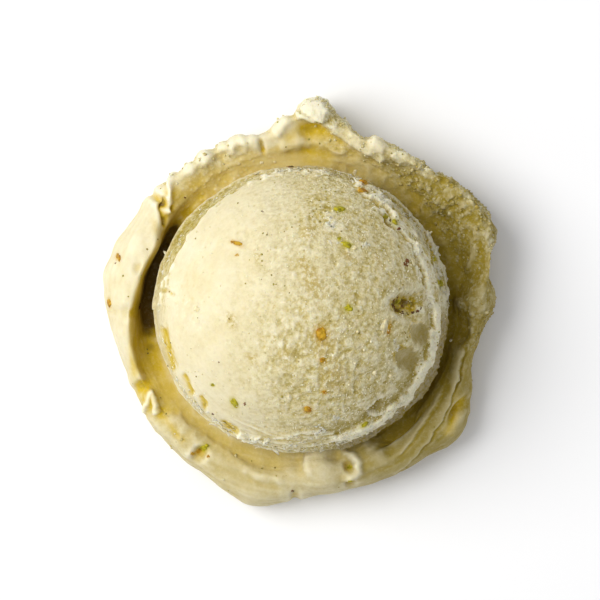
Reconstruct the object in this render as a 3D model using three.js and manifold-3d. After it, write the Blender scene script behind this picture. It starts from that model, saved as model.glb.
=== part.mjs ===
// A portion of pistachio gelato as a round-bowled scoop turns it out, standing on its own flat base.
//
// The smooth dome is the gelato that filled the bowl. The collar is the gelato that the bowl's edge pushed up and
// outwards: a torn wall with folds and crumbs that stands round the dome across a narrow groove. Chopped pistachios
// lie in the surface. It is all one frozen mass, so it is one solid.
//
// Units are millimetres and +Z is up. The portion rests on z = 0 and the origin is under the middle of its outline.
// Directions round the dome are degrees from +X towards +Y. Places on it are [x, y] from the dome's own centre.
import * as THREE from 'three';
import { mergeVertices } from 'three/addons/utils/BufferGeometryUtils.js';
import Module from 'manifold-3d';

// ---- Driving dimensions ----
const SCOOP_HEIGHT = 41.5; // from the base to the top of the dome
const RIM_HEIGHT = 13.5; // where the bowl's edge cut the dome off
const DOME_RADIUS = [28.3, 27.4]; // along X and along Y, at the rim
const DOME_CENTRE = [0.22, -1.53]; // the dome stands a little to the front of the outline's middle
const RIM_LIP = 0.5; // how far the torn lip sticks out at the rim
const FIN_HEIGHT = 1.9; // how far the upturned edge at the front right stands above the dome
const TROUGH_DEPTH = 0.8; // of the hollow inside that edge
const NUT_THICKNESS = 0.6; // of a chip's mean width, as the chips lie nearly flush
const COLLAR_RADIUS = 36.3; // the outline where no lobe swells it
const FOOT_TUCK = 1.8; // how far the base is drawn in under the collar's belly

// Mesh steps: small enough for folds and crags, few enough for a light solid.
const DOME_SIDES = 72;
const COLLAR_SIDES = 168;

// ---- Small maths ----
const radians = (degrees) => (degrees * Math.PI) / 180;
const mix = (a, b, t) => a + (b - a) * t;
const clamp = (x, low, high) => Math.min(high, Math.max(low, x));
const smooth = (t) => t * t * (3 - 2 * t);
const smoothstep = (low, high, x) => smooth(clamp((x - low) / (high - low), 0, 1));
const turn = (angle) => ((((angle + 180) % 360) + 360) % 360) - 180; // the same direction, from -180 to 180
const swell = (angle, at, width) => Math.exp(-((turn(angle - at) / width) ** 2));
const swells = (list, angle) =>
  list.reduce((sum, { at, width, reach }) => sum + reach * swell(angle, at, width), 0);

// The value at x on straight lines between [place, value] pairs, level past their ends.
function between(pairs, x) {
  const next = pairs.findIndex(([place]) => place > x);
  if (next === 0) return pairs[0][1];
  if (next < 0) return pairs.at(-1)[1];
  const [[a, low], [b, high]] = [pairs[next - 1], pairs[next]];
  return mix(low, high, (x - a) / (b - a));
}

// A repeatable number from -1 to 1 for each corner of a cubic lattice.
function cornerValue(i, j, k) {
  const s = Math.sin(i * 127.1 + j * 311.7 + k * 74.7) * 43758.5453;
  return 2 * (s - Math.floor(s)) - 1;
}

// Smooth noise from -1 to 1: the corner values of the cell that holds the point, blended by 3t^2 - 2t^3.
function noise(x, y, z) {
  const [i, j, k] = [x, y, z].map(Math.floor);
  const [u, v, w] = [smooth(x - i), smooth(y - j), smooth(z - k)];
  const alongX = (jj, kk) => mix(cornerValue(i, jj, kk), cornerValue(i + 1, jj, kk), u);
  const alongY = (kk) => mix(alongX(j, kk), alongX(j + 1, kk), v);
  return mix(alongY(k), alongY(k + 1), w);
}

// Torn gelato: sharp ridges where the noise crosses zero, at two scales, from about -1 to 1.
function crag(p, scale) {
  const ridge = (s) => 1 - 2 * Math.abs(noise(p.x * s, p.y * s, p.z * s));
  return 0.65 * ridge(1 / scale) + 0.35 * ridge(2.1 / scale);
}

// ---- The collar's outline and section ----
// Lobes that swell the outline, round from the right: direction, half width, and how far out they reach.
const LOBES = [
  { at: 4, width: 7, reach: 1.0 }, // lump on the right
  { at: 21, width: 5, reach: 1.1 },
  { at: 27, width: 11, reach: 4.2 }, // crumbly shoulder
  { at: 39, width: 7, reach: 1.3 },
  { at: 59, width: 8, reach: 0.7 },
  { at: 71, width: 6, reach: -1.0 },
  { at: 84.5, width: 8, reach: 3.9 }, // knob at the back
  { at: 107, width: 10, reach: -1.2 },
  { at: 127, width: 8, reach: -1.1 },
  { at: 144, width: 12, reach: 0.8 },
  { at: 170, width: 16, reach: 2.8 }, // thick smooth wall on the left
  { at: 222, width: 16, reach: 0.7 },
  { at: 231, width: 6, reach: 0.7 },
  { at: 255, width: 13, reach: 3.4 }, // foot at the front left
  { at: 290, width: 8, reach: 0.4 },
  { at: 304, width: 14, reach: 1.3 },
  { at: 322, width: 10, reach: 3.4 }, // folded sheet at the front right
  { at: 345, width: 8, reach: -1.3 },
];

// Stations round the collar: direction; the groove's outer foot [radius, height]; the brim, where the inner wall turns
// over towards the crest [radius, height]; the crest [radius, height].
const STATIONS = [
  { at: 2, foot: [29.8, 6.5], brim: [32.0, 9.6], crest: [35.2, 12.6] }, // lump on the right
  { at: 18, foot: [29.6, 7.5], brim: [33.0, 9.4], crest: [38.7, 13.8] }, // crumbly shoulder over a smooth hollow
  { at: 29, foot: [29.6, 8.0], brim: [33.4, 10.0], crest: [39.7, 15.2] },
  { at: 39, foot: [29.6, 8.5], brim: [33.0, 10.6], crest: [38.6, 15.2] },
  { at: 52, foot: [29.5, 9.0], brim: [32.4, 11.4], crest: [36.2, 15.2] },
  { at: 70, foot: [29.3, 9.5], brim: [32.0, 11.6], crest: [35.0, 15.6] },
  { at: 79, foot: [29.1, 10.2], brim: [33.2, 12.2], crest: [37.4, 14.8] },
  { at: 86, foot: [29.0, 10.6], brim: [34.4, 12.8], crest: [39.2, 15.4] }, // knob
  { at: 92, foot: [28.9, 10.8], brim: [33.0, 13.2], crest: [37.0, 14.8] },
  { at: 100, foot: [28.9, 10.8], brim: [31.4, 12.6], crest: [34.4, 13.8] },
  { at: 120, foot: [29.1, 10.6], brim: [31.6, 12.2], crest: [34.6, 13.3] }, // smooth slope at the back left
  { at: 134, foot: [29.2, 10.2], brim: [31.6, 12.0], crest: [35.0, 13.0] },
  { at: 142, foot: [29.3, 8.6], brim: [31.4, 11.7], crest: [35.0, 12.8] }, // tear
  { at: 149, foot: [29.7, 6.0], brim: [31.1, 12.2], crest: [32.6, 13.8] },
  { at: 157, foot: [30.2, 3.2], brim: [30.4, 13.4], crest: [31.1, 15.0] }, // thick left wall
  { at: 170, foot: [31.0, 2.6], brim: [31.5, 12.4], crest: [32.4, 15.2] },
  { at: 183, foot: [31.0, 4.8], brim: [32.3, 11.0], crest: [33.8, 14.2] },
  { at: 193, foot: [31.0, 7.8], brim: [32.9, 10.4], crest: [34.2, 12.8] },
  { at: 200, foot: [30.9, 8.2], brim: [33.0, 9.8], crest: [34.3, 11.8] },
  { at: 209, foot: [30.4, 8.8], brim: [32.4, 9.5], crest: [34.0, 10.4] },
  { at: 226, foot: [29.9, 9.2], brim: [31.6, 9.7], crest: [33.2, 10.5] }, // low and level at the front left
  { at: 258, foot: [29.6, 9.2], brim: [31.8, 9.7], crest: [33.4, 10.5] },
  { at: 268, foot: [29.0, 9.4], brim: [31.0, 10.2], crest: [33.0, 11.0] },
  { at: 276, foot: [28.6, 11.6], brim: [30.2, 12.2], crest: [32.4, 12.2] }, // soft bridge at the front
  { at: 285, foot: [28.8, 10.8], brim: [31.0, 11.6], crest: [33.4, 11.6] },
  { at: 295, foot: [28.6, 10.8], brim: [30.4, 11.8], crest: [33.0, 12.0] },
  { at: 303, foot: [29.3, 6.4], brim: [30.9, 9.6], crest: [34.2, 11.6] },
  { at: 312, foot: [29.5, 6.6], brim: [30.8, 9.8], crest: [34.2, 11.4] }, // sheets at the front right
  { at: 328, foot: [29.5, 6.8], brim: [30.7, 10.0], crest: [34.0, 12.0] },
  { at: 345, foot: [29.4, 6.6], brim: [30.9, 10.0], crest: [33.4, 12.0] },
];

const outline = (angle) => COLLAR_RADIUS + swells(LOBES, angle);

// The foot, brim and crest in any direction, eased from each station to the next.
function stationAt(angle) {
  const a = ((angle % 360) + 360) % 360;
  const next = STATIONS.findIndex((s) => s.at > a);
  const after = STATIONS[Math.max(next, 0)];
  const before = STATIONS[(next > 0 ? next : STATIONS.length) - 1];
  const t = smooth(((a - before.at + 360) % 360) / ((after.at - before.at + 360) % 360));
  return ['foot', 'brim', 'crest'].map((key) => [0, 1].map((i) => mix(before[key][i], after[key][i], t)));
}

// ---- Relief ----
// Places in the relief are [direction, radius] from the dome's centre. A ridge follows a line. A hollow is a dent of
// the given half sizes, across (along the radius) and along (round the collar); a negative depth makes it a swelling.
const RIDGES = [
  { line: [[133, 36.4], [138.3, 34.2], [144, 32.4]], width: 0.8, height: 1.1 }, // rolled fold at the tear
  { line: [[90.5, 37.3], [87, 37.0], [83, 37.5]], width: 0.7, height: 1.0 }, // lip over the hollow
  { line: [[94.5, 36.8], [98, 34.8]], width: 1.1, height: 1.0 },
  { line: [[84, 37.6], [79, 35.8], [75, 34.7], [68.7, 33.6], [62, 33.8]], width: 1.0, height: 0.9 },
  { line: [[76, 32.0], [84, 32.6], [90, 32.8], [96, 32.2]], width: 1.2, height: 0.8 }, // fold behind the dome
  { line: [[50, 36.2], [56, 35.4], [62, 34.6]], width: 0.9, height: 0.8 }, // torn edges on the shoulder
  { line: [[14, 33.6], [19, 36.4]], width: 0.9, height: 0.9 },
  { line: [[213.4, 36.1], [209.3, 33.8], [215.3, 34.5]], width: 0.8, height: 0.8 }, // small torn tongue
  { line: [[216, 36.0], [224, 35.6], [232, 35.8]], width: 1.1, height: 0.6 },
  { line: [[222, 32.2], [230, 31.8], [246, 32.2], [256, 33.6], [262, 33.6]], width: 1.0, height: 0.45 },
  { line: [[328.5, 38.8], [333, 37.2], [341, 35.8]], width: 0.9, height: 0.6 }, // outer sheet, front right
  { line: [[287, 29.6], [289.4, 30.5], [290.4, 32.1], [289.2, 33.5], [286.6, 34]], width: 1.0, height: 1.2 }, // curl
  { line: [[273.2, 31.4], [272.6, 29.2]], width: 0.9, height: 0.55 }, // edges of the soft bridge
  { line: [[279, 33.4], [278, 29.2]], width: 3.0, height: 0.7 },
  { line: [[298, 33.0], [300, 30.2]], width: 1.8, height: 0.4 },
];
const HOLLOWS = [
  { at: [142.4, 34.8], size: [2.4, 1.1], depth: 1.7 }, // notch of the tear
  { at: [87.5, 35.6], size: [1.5, 3.2], depth: 0.5 }, // under the knob
  { at: [87, 39.6], size: [2.0, 3.6], depth: -1.5 }, // the knob's head
  { at: [111, 34.4], size: [1.6, 2.2], depth: -1.4 }, // soft lumps along the back left
  { at: [117.8, 33.4], size: [1.2, 1.2], depth: 0.6 },
  { at: [122.5, 34.9], size: [1.3, 1.8], depth: -1.2 },
  { at: [128.5, 34.8], size: [1.2, 1.4], depth: -0.8 },
  { at: [65.5, 35.4], size: [1.2, 1.6], depth: -1.0 },
  { at: [14, 32.6], size: [2.0, 4.2], depth: 1.1 }, // smooth hollow under the shoulder
  { at: [2, 31.8], size: [1.3, 1.6], depth: -0.9 }, // lumps on the right
  { at: [3, 35.6], size: [3.0, 3.2], depth: -1.0 },
  { at: [352, 31.4], size: [1.6, 2.6], depth: 1.0 },
  { at: [159, 34.2], size: [1.4, 2.2], depth: -0.5 }, // the left wall is a little uneven
  { at: [166, 32.9], size: [0.9, 1.2], depth: 0.5 },
  { at: [176, 35.4], size: [2.0, 2.6], depth: -0.45 },
  { at: [181, 34.2], size: [0.9, 1.4], depth: 0.5 },
  { at: [189, 35.4], size: [1.6, 2.0], depth: -0.4 },
  { at: [206, 35.0], size: [2.0, 1.3], depth: 1.0 },
  { at: [235, 34.6], size: [1.5, 1.2], depth: 1.6 }, // pit with nuts
  { at: [268.2, 37.4], size: [1.6, 1.1], depth: 0.7 }, // crease beside the bridge
  { at: [283, 29.6], size: [1.2, 2.0], depth: 0.6 },
  { at: [286.6, 32.1], size: [1.2, 0.9], depth: 1.6 }, // mouth of the curl
  { at: [327, 36.7], size: [1.2, 2.6], depth: 2.4 }, // pocket between the sheets
  { at: [309, 30.6], size: [0.9, 4.2], depth: 2.2 }, // deep fold beside the cut wall
];
// Overlapping torn sheets: the surface swells up to each edge over the given reach, then steps down outside it.
const SHEETS = [
  { edge: [[333, 34.0], [338.4, 33.5], [346, 32.9]], height: 0.9, reach: 1.8 },
  { edge: [[318, 35.6], [327, 34.5], [336, 33.7]], height: 0.35, reach: 1.6 },
  { edge: [[305, 34.6], [312, 33.4], [322, 32.5], [330, 32.0]], height: 0.3, reach: 1.2 },
  { edge: [[300, 37.2], [310, 36.2], [318, 35.4]], height: 0.35, reach: 1.0 },
];
const SHEET_STEP = 0.4; // half the width of the step down at an edge
const SHEET_FADE = 3; // degrees over which a sheet fades out past each end of its edge
// Pits in the dome.
const DOME_PITS = [
  { at: [2.5, 20.9], size: [3.1, 1.9], depth: 2.4 }, // torn pit with nuts
  { at: [-11.4, 23.4], size: [1.7, 1.9], depth: 1.2 }, // two smooth craters
  { at: [-25.3, 22.8], size: [2.3, 2.0], depth: 1.4 },
  { at: [-52.8, 23.8], size: [1.0, 2.2], depth: 1.3 }, // slit under a curl
  { at: [44.5, 24.0], size: [0.9, 2.2], depth: 1.4 }, // slit behind the torn sheet
];
// The cream sheet at the upper right was torn back to this edge, outside which the dome is thicker.
const TORN_SHEET = [
  {
    edge: [[4, 25.2], [16, 24.3], [22, 24.9], [29, 24.7], [33, 24.2], [44, 24.6], [52, 24.8], [60, 25.1], [66, 26.0]],
    height: 0.6,
    reach: 1.6,
  },
];
// The upturned edge at the front right, above the cut side: [direction, radius], and the width of its flat top.
const FIN_RADIUS = [
  [-80, 26.2], [-69, 27.0], [-63.4, 26.9], [-57.6, 27.3], [-46.5, 26.8], [-40.7, 27.6], [-32.4, 27.3], [-22, 27.5],
  [-9, 27.4], [6, 27.2],
];
const FIN_WIDTH = [[-80, 1.0], [-63, 1.5], [-46, 1.3], [-25, 1.3], [-10, 1.4], [6, 1.1]];
const LIP_SWELLS = [
  { at: 18, width: 50, reach: 0.35 },
  { at: -46, width: 24, reach: 0.5 },
  { at: -72, width: 9, reach: 0.2 },
  { at: -8, width: 14, reach: -0.35 },
];
// Directions in which the collar is torn and crumbly rather than smooth.
const CRUMBLY = [
  { at: 38, width: 28, reach: 1.2 },
  { at: 82, width: 10, reach: 0.8 },
  { at: 120, width: 16, reach: 0.3 },
  { at: 356, width: 12, reach: 0.55 },
  { at: 228, width: 16, reach: 0.12 },
];

const inPlan = ([angle, radius]) => [radius * Math.cos(radians(angle)), radius * Math.sin(radians(angle))];

function distanceToSegment(x, y, [ax, ay], [bx, by]) {
  const [dx, dy] = [bx - ax, by - ay];
  const t = clamp(((x - ax) * dx + (y - ay) * dy) / (dx * dx + dy * dy), 0, 1);
  return Math.hypot(x - ax - t * dx, y - ay - t * dy);
}

function ridgesAt(x, y) {
  return RIDGES.reduce((sum, { line, width, height }) => {
    const points = line.map(inPlan);
    const gaps = points.slice(1).map((end, i) => distanceToSegment(x, y, points[i], end));
    return sum + height * Math.exp(-((Math.min(...gaps) / width) ** 2));
  }, 0);
}

function hollowsAt(list, x, y) {
  return list.reduce((sum, { at, size, depth }) => {
    const [cos, sin] = [Math.cos(radians(at[0])), Math.sin(radians(at[0]))];
    const across = (x * cos + y * sin - at[1]) / size[0];
    const along = (y * cos - x * sin) / size[1];
    return sum - depth * Math.exp(-((across ** 2 + along ** 2) ** 1.4));
  }, 0);
}

// side is 1 where the sheets lie inside their edges and -1 where they lie outside.
function sheetsAt(list, side, x, y) {
  const angle = ((Math.atan2(y, x) * 180) / Math.PI + 360) % 360;
  return list.reduce((sum, { edge, height, reach }) => {
    const gap = side * (Math.hypot(x, y) - between(edge, angle));
    const [[first], [last]] = [edge[0], edge.at(-1)];
    const begun = smoothstep(first - SHEET_FADE, first + SHEET_FADE, angle);
    const ended = smoothstep(last - SHEET_FADE, last + SHEET_FADE, angle);
    const rise = Math.exp(-((Math.min(gap, 0) / reach) ** 2)) * (1 - smoothstep(-SHEET_STEP, SHEET_STEP, gap));
    return sum + height * begun * (1 - ended) * rise;
  }, 0);
}

// How far the collar's surface moves out along its own normal at a point.
function collarRelief(p) {
  const angle = (Math.atan2(p.y, p.x) * 180) / Math.PI;
  const underKnob = swell(angle, 92, 19) * (1 - smoothstep(35.8, 37, Math.hypot(p.x, p.y)));
  const torn = 0.14 + 0.8 * swells(CRUMBLY, angle) * (1 - underKnob);
  const offFloor = smoothstep(0.4, 3.5, p.z);
  const folds = ridgesAt(p.x, p.y) + hollowsAt(HOLLOWS, p.x, p.y) + sheetsAt(SHEETS, 1, p.x, p.y);
  return offFloor * (folds + torn * crag(p, 5.2));
}

// How far the dome's surface moves out: pits, the torn sheet and a rough rim.
function domeRelief(p) {
  const angle = (Math.atan2(p.y, p.x) * 180) / Math.PI;
  const torn = 0.12 + 0.2 * swell(angle, -5, 60);
  const rim = (1 - smoothstep(RIM_HEIGHT + 2, RIM_HEIGHT + 10, p.z)) * torn * crag(p, 3.4);
  const onCap = smoothstep(RIM_HEIGHT, RIM_HEIGHT + 1.5, p.z);
  return onCap * (hollowsAt(DOME_PITS, p.x, p.y) + sheetsAt(TORN_SHEET, -1, p.x, p.y)) + rim;
}

// ---- Solids of revolution whose section changes with direction ----
// section(angle) gives [radius, height] pairs from the axis at the top to the axis at the bottom. Relief moves each
// point along the surface's normal, and nothing goes below the floor.
function turnedGeometry(section, sides, relief) {
  const rings = Array.from({ length: sides }, (_, i) => {
    const angle = (360 * i) / sides;
    return section(angle).map(([r, z]) => [r * Math.cos(radians(angle)), r * Math.sin(radians(angle)), z]);
  });
  const rows = rings[0].length;
  const faces = [];
  rings.forEach((_, i) => {
    const j = (i + 1) % sides;
    for (let k = 0; k < rows - 1; k += 1) {
      const [a, b, c, d] = [i * rows + k, i * rows + k + 1, j * rows + k + 1, j * rows + k];
      if (k < rows - 2) faces.push(a, b, c);
      if (k > 0) faces.push(a, c, d);
    }
  });
  const loose = new THREE.BufferGeometry();
  loose.setAttribute('position', new THREE.Float32BufferAttribute(rings.flat(2), 3));
  loose.setIndex(faces);
  const geometry = mergeVertices(loose, 1e-3);
  geometry.computeVertexNormals();
  const { position, normal } = geometry.attributes;
  const point = new THREE.Vector3();
  const out = new THREE.Vector3();
  for (let i = 0; i < position.count; i += 1) {
    point.fromBufferAttribute(position, i);
    out.fromBufferAttribute(normal, i);
    if (point.z > 0.3) point.addScaledVector(out, relief(point));
    position.setXYZ(i, point.x, point.y, Math.max(0, point.z));
  }
  return geometry;
}

// Points along a smooth curve through [radius, height] controls, a given number for each stretch between controls.
function throughControls(controls, steps) {
  const corners = controls.map(([r, z]) => new THREE.Vector3(r, 0, z));
  const curve = new THREE.CatmullRomCurve3(corners, false, 'centripetal');
  const stretches = controls.length - 1;
  const points = [];
  steps.forEach((count, i) => {
    for (let k = 0; k < count; k += 1) points.push(curve.getPoint((i + k / count) / stretches));
  });
  points.push(curve.getPoint(1));
  return points.map((p) => [Math.max(0, p.x), Math.max(0, p.z)]);
}

const domeRadius = (angle) =>
  DOME_RADIUS[0] * Math.cos(radians(angle)) ** 2 + DOME_RADIUS[1] * Math.sin(radians(angle)) ** 2;

// The dome: a round cap, the trough and flat-topped fin near its edge at the front right, a small torn lip at the rim,
// then the cut side going down into the collar.
function domeSection(angle) {
  const radius = domeRadius(angle);
  const facing = turn(angle);
  const capSteps = 13;
  const capHeight = (r) => RIM_HEIGHT + (SCOOP_HEIGHT - RIM_HEIGHT) * Math.sqrt(1 - (r / radius) ** 2);
  const reach = smoothstep(-80, -72, facing) * (1 - smoothstep(-3, 6, facing));
  const [top, width] = [Math.min(between(FIN_RADIUS, facing), radius - 0.6), between(FIN_WIDTH, facing)];
  const trough = top - 1.9 * width;
  const shoulder = mix(top, radius, 0.6);
  const lip = RIM_LIP * (0.8 + 0.6 * noise(angle / 9, 3.3, 0)) + swells(LIP_SWELLS, angle);
  const cap = Array.from({ length: capSteps }, (_, i) => {
    const r = radius * Math.sin((Math.asin(trough / radius) * i) / (capSteps - 1));
    return [r, capHeight(r) - (i === capSteps - 1 ? TROUGH_DEPTH * reach : 0)];
  });
  const side = [
    [top - width, capHeight(top - width) + FIN_HEIGHT * reach],
    [top, capHeight(top) + FIN_HEIGHT * reach],
    [shoulder, capHeight(shoulder)],
    [radius, RIM_HEIGHT + 2],
    [radius + lip, RIM_HEIGHT + 0.5],
    [radius + 0.8 * lip, RIM_HEIGHT - 0.5],
    [radius - 0.5, RIM_HEIGHT - 1.6],
    [radius - 0.8, RIM_HEIGHT - 5],
    [radius - 1.2, 3],
  ];
  return [...cap, ...side, [0, 3]];
}

// The collar and base: hidden under the dome, then the groove, the inner wall, the crest, the belly and the foot.
function collarSection(angle) {
  const [foot, brim, crest] = stationAt(angle);
  const outer = outline(angle) + 0.35 * noise(angle / 5, 7.7, 0);
  const shown = throughControls(
    [
      [26.6, foot[1]],
      [foot[0] - 0.3, foot[1]],
      [mix(foot[0], brim[0], 0.6), mix(foot[1], brim[1], 0.5)],
      brim,
      crest,
      [mix(crest[0], outer, 0.7), mix(crest[1], 4, 0.28)],
      [outer, 0.4 * crest[1]],
      [outer - 0.45 * FOOT_TUCK, 1.4],
      [outer - FOOT_TUCK, 0],
    ],
    [1, 2, 3, 4, 4, 4, 3, 1],
  );
  return [[0, 5], [24, 5], ...shown, [0, 0]];
}

// ---- Chopped pistachio that shows in the surface ----
// Place, across and along sizes, and the direction the chip's long side points.
const NUTS = [
  { at: [7.6, 19.6], size: [1.5, 2.1], turned: 10 }, // green pistachio
  { at: [9.0, 12.7], size: [1.5, 2.2], turned: -15 },
  { at: [9.3, 0.2], size: [1.4, 1.6], turned: 0 },
  { at: [-13.1, -18.4], size: [1.5, 2.6], turned: 105 },
  { at: [27.2, 5.0], size: [1.4, 2.0], turned: -30 },
  { at: [18.0, 16.8], size: [1.1, 1.8], turned: -50 },
  { at: [-19.0, -27.3], size: [1.5, 2.0], turned: 30 },
  { at: [19.0, 1.4], size: [0.8, 1.2], turned: 40 },
  { at: [3.9, -4.9], size: [2.3, 3.0], turned: 100 }, // roasted skin
  { at: [4.3, -9.9], size: [1.1, 1.5], turned: 160 },
  { at: [1.4, -19.4], size: [1.5, 1.8], turned: 60 },
  { at: [-12.4, 12.8], size: [1.0, 2.6], turned: -27 },
  { at: [12.3, 24.8], size: [1.4, 1.6], turned: -30 },
  { at: [-35.9, 10.2], size: [1.1, 2.1], turned: -50 },
  { at: [-37.0, 1.2], size: [1.2, 1.8], turned: 90 },
  { at: [16.2, -3.4], size: [1.4, 2.1], turned: 80 }, // blanched pieces
  { at: [-20.4, 0.0], size: [1.1, 1.4], turned: 20 },
];

// An irregular chip with few faces, standing a little out of the surface below the given place.
function nutGeometry({ at, size, turned }, surface, index) {
  const down = new THREE.Raycaster(new THREE.Vector3(...at, 2 * SCOOP_HEIGHT), new THREE.Vector3(0, 0, -1));
  const [hit] = down.intersectObject(surface);
  const ball = new THREE.IcosahedronGeometry(0.5, 0).deleteAttribute('normal').deleteAttribute('uv');
  const chip = mergeVertices(ball);
  const { position } = chip.attributes;
  for (let i = 0; i < position.count; i += 1) {
    const stretch = 1 + 0.22 * noise(index * 3.1 + i, 1.7, 5.3);
    position.setXYZ(i, position.getX(i) * stretch, position.getY(i) * stretch, position.getZ(i) * stretch);
  }
  chip.scale(size[1], size[0], (NUT_THICKNESS / 2) * (size[0] + size[1])).rotateZ(radians(turned));
  const up = new THREE.Vector3(0, 0, 1);
  chip.applyQuaternion(new THREE.Quaternion().setFromUnitVectors(up, hit.face.normal));
  return chip.translate(hit.point.x, hit.point.y, hit.point.z);
}

// ---- Joining ----
const library = await Module();
library.setup();

function toSolid(geometry) {
  const bare = geometry.clone();
  ['normal', 'uv'].forEach((name) => bare.deleteAttribute(name));
  const merged = mergeVertices(bare, 1e-4);
  const mesh = new library.Mesh({
    numProp: 3,
    vertProperties: new Float32Array(merged.attributes.position.array),
    triVerts: new Uint32Array(merged.index.array),
  });
  return new library.Manifold(mesh);
}

function toGeometry(solid) {
  const { vertProperties, triVerts } = solid.getMesh();
  const geometry = new THREE.BufferGeometry();
  geometry.setAttribute('position', new THREE.BufferAttribute(vertProperties, 3));
  geometry.setIndex(new THREE.BufferAttribute(triVerts, 1));
  geometry.computeVertexNormals();
  return geometry;
}

const dome = toSolid(turnedGeometry(domeSection, DOME_SIDES, domeRelief));
const collar = toSolid(turnedGeometry(collarSection, COLLAR_SIDES, collarRelief));
const bareScoop = dome.add(collar);
const surface = new THREE.Mesh(toGeometry(bareScoop));
const scoop = NUTS.reduce((body, nut, i) => body.add(toSolid(nutGeometry(nut, surface, i))), bareScoop);

// ---- The scene ----
const gelatoMaterial = new THREE.MeshStandardMaterial({ color: 0xd9cc94, roughness: 0.6, metalness: 0 });
const gelato = new THREE.Mesh(toGeometry(scoop), gelatoMaterial);
gelato.name = 'gelato_scoop';
gelato.position.set(...DOME_CENTRE, 0);

const portion = new THREE.Group();
portion.add(gelato);

export default portion;
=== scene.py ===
"""A scoop of pistachio gelato: a round dome inside a torn collar, with chopped nuts, on a white table.

Sizes in the sections are millimetres and become metres as each mesh is made. Directions round the dome are degrees
from +X towards +Y, and places marked (direction, radius) are measured from the dome's own centre.
"""

import math

import bpy
import numpy as np
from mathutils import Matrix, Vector


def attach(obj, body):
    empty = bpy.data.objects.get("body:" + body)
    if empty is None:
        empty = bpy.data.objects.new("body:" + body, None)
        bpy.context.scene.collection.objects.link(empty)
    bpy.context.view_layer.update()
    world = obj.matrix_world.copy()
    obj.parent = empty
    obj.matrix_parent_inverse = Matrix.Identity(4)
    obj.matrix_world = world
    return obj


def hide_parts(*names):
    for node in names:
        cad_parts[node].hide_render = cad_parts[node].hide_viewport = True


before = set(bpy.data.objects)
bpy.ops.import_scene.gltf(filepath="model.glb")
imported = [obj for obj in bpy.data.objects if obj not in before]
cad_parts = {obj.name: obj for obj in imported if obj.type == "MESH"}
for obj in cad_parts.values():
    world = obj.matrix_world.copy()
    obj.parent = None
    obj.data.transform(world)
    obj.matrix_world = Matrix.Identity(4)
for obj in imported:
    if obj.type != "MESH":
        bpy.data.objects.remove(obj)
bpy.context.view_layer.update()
scene = bpy.context.scene

# ---------------------------------------------------------------------------------------------------------------------
# The table, the camera and the light. A white table top; one large soft window on the left and a little behind, whose
# light rakes across the dome and drops its shade on the right of it, and a pale room all round.

table_mesh = bpy.data.meshes.new("table_top")
table_mesh.from_pydata([(-3, -3, 0), (3, -3, 0), (3, 3, 0), (-3, 3, 0)], [], [(0, 1, 2, 3)])
table = bpy.data.objects.new("table_top", table_mesh)
scene.collection.objects.link(table)

paper = bpy.data.materials.new("white_table")
paper.use_nodes = True
paper_shader = paper.node_tree.nodes["Principled BSDF"]
paper_shader.inputs["Roughness"].default_value = 0.9
paper_shader.inputs["Specular IOR Level"].default_value = 0.1
paper_grain = paper.node_tree.nodes.new("ShaderNodeTexNoise")
paper_grain.inputs["Scale"].default_value = 3.0
paper_tone = paper.node_tree.nodes.new("ShaderNodeValToRGB")
paper_tone.color_ramp.elements[0].color = (0.93, 0.93, 0.94, 1)
paper_tone.color_ramp.elements[1].color = (0.95, 0.95, 0.95, 1)
paper_place = paper.node_tree.nodes.new("ShaderNodeTexCoord")
paper.node_tree.links.new(paper_place.outputs["Object"], paper_grain.inputs["Vector"])
paper.node_tree.links.new(paper_grain.outputs["Fac"], paper_tone.inputs["Fac"])
paper.node_tree.links.new(paper_tone.outputs["Color"], paper_shader.inputs["Base Color"])
table_mesh.materials.append(paper)

CAMERA_HEIGHT = 1.0  # metres above the widest part of the collar
COLLAR_LEVEL = 9.0  # millimetres up, where the collar is widest
VIEW_WIDTH = 0.1176  # metres of table that the picture takes in
camera_data = bpy.data.cameras.new("camera_above")
camera_data.sensor_width = 36.0
camera_data.lens = 36.0 * CAMERA_HEIGHT / VIEW_WIDTH
camera_data.clip_start = 0.05
camera = bpy.data.objects.new("camera_above", camera_data)
camera.location = (0.00004, 0.00022, CAMERA_HEIGHT + COLLAR_LEVEL / 1000)
scene.collection.objects.link(camera)
scene.camera = camera


def window_light(name, direction, height, distance, size, power, colour):
    """A round soft light on a sphere round the scoop, turned to face it: direction and height in degrees."""
    data = bpy.data.lights.new(name, "AREA")
    data.shape = "DISK"
    data.size = size
    data.energy = power
    data.color = colour
    light = bpy.data.objects.new(name, data)
    a, e = math.radians(direction), math.radians(height)
    towards = Vector((math.cos(a) * math.cos(e), math.sin(a) * math.cos(e), math.sin(e)))
    light.location = towards * distance
    light.rotation_euler = towards.to_track_quat("Z", "Y").to_euler()
    scene.collection.objects.link(light)


window_light("window", 164, 51, 1.2, 0.95, 12.6, (1.0, 0.99, 0.965))
window_light("room_fill", 200, 70, 1.6, 1.6, 2.0, (0.97, 0.98, 1.0))

room = bpy.data.worlds.new("pale_room")
room.use_nodes = True
room.node_tree.nodes["Background"].inputs["Color"].default_value = (0.96, 0.97, 1.0, 1)
room.node_tree.nodes["Background"].inputs["Strength"].default_value = 0.48
scene.world = room
scene.view_settings.view_transform = "Standard"
scene.view_settings.look = "None"
scene.view_settings.exposure = 0.0

# ---------------------------------------------------------------------------------------------------------------------
# The collar and base: gelato that the scoop's edge pushed up and outwards. It stands round the dome across a narrow
# groove: smooth and thick on the left, curled at the back, torn and crumbly on the right, folded at the front.

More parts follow.
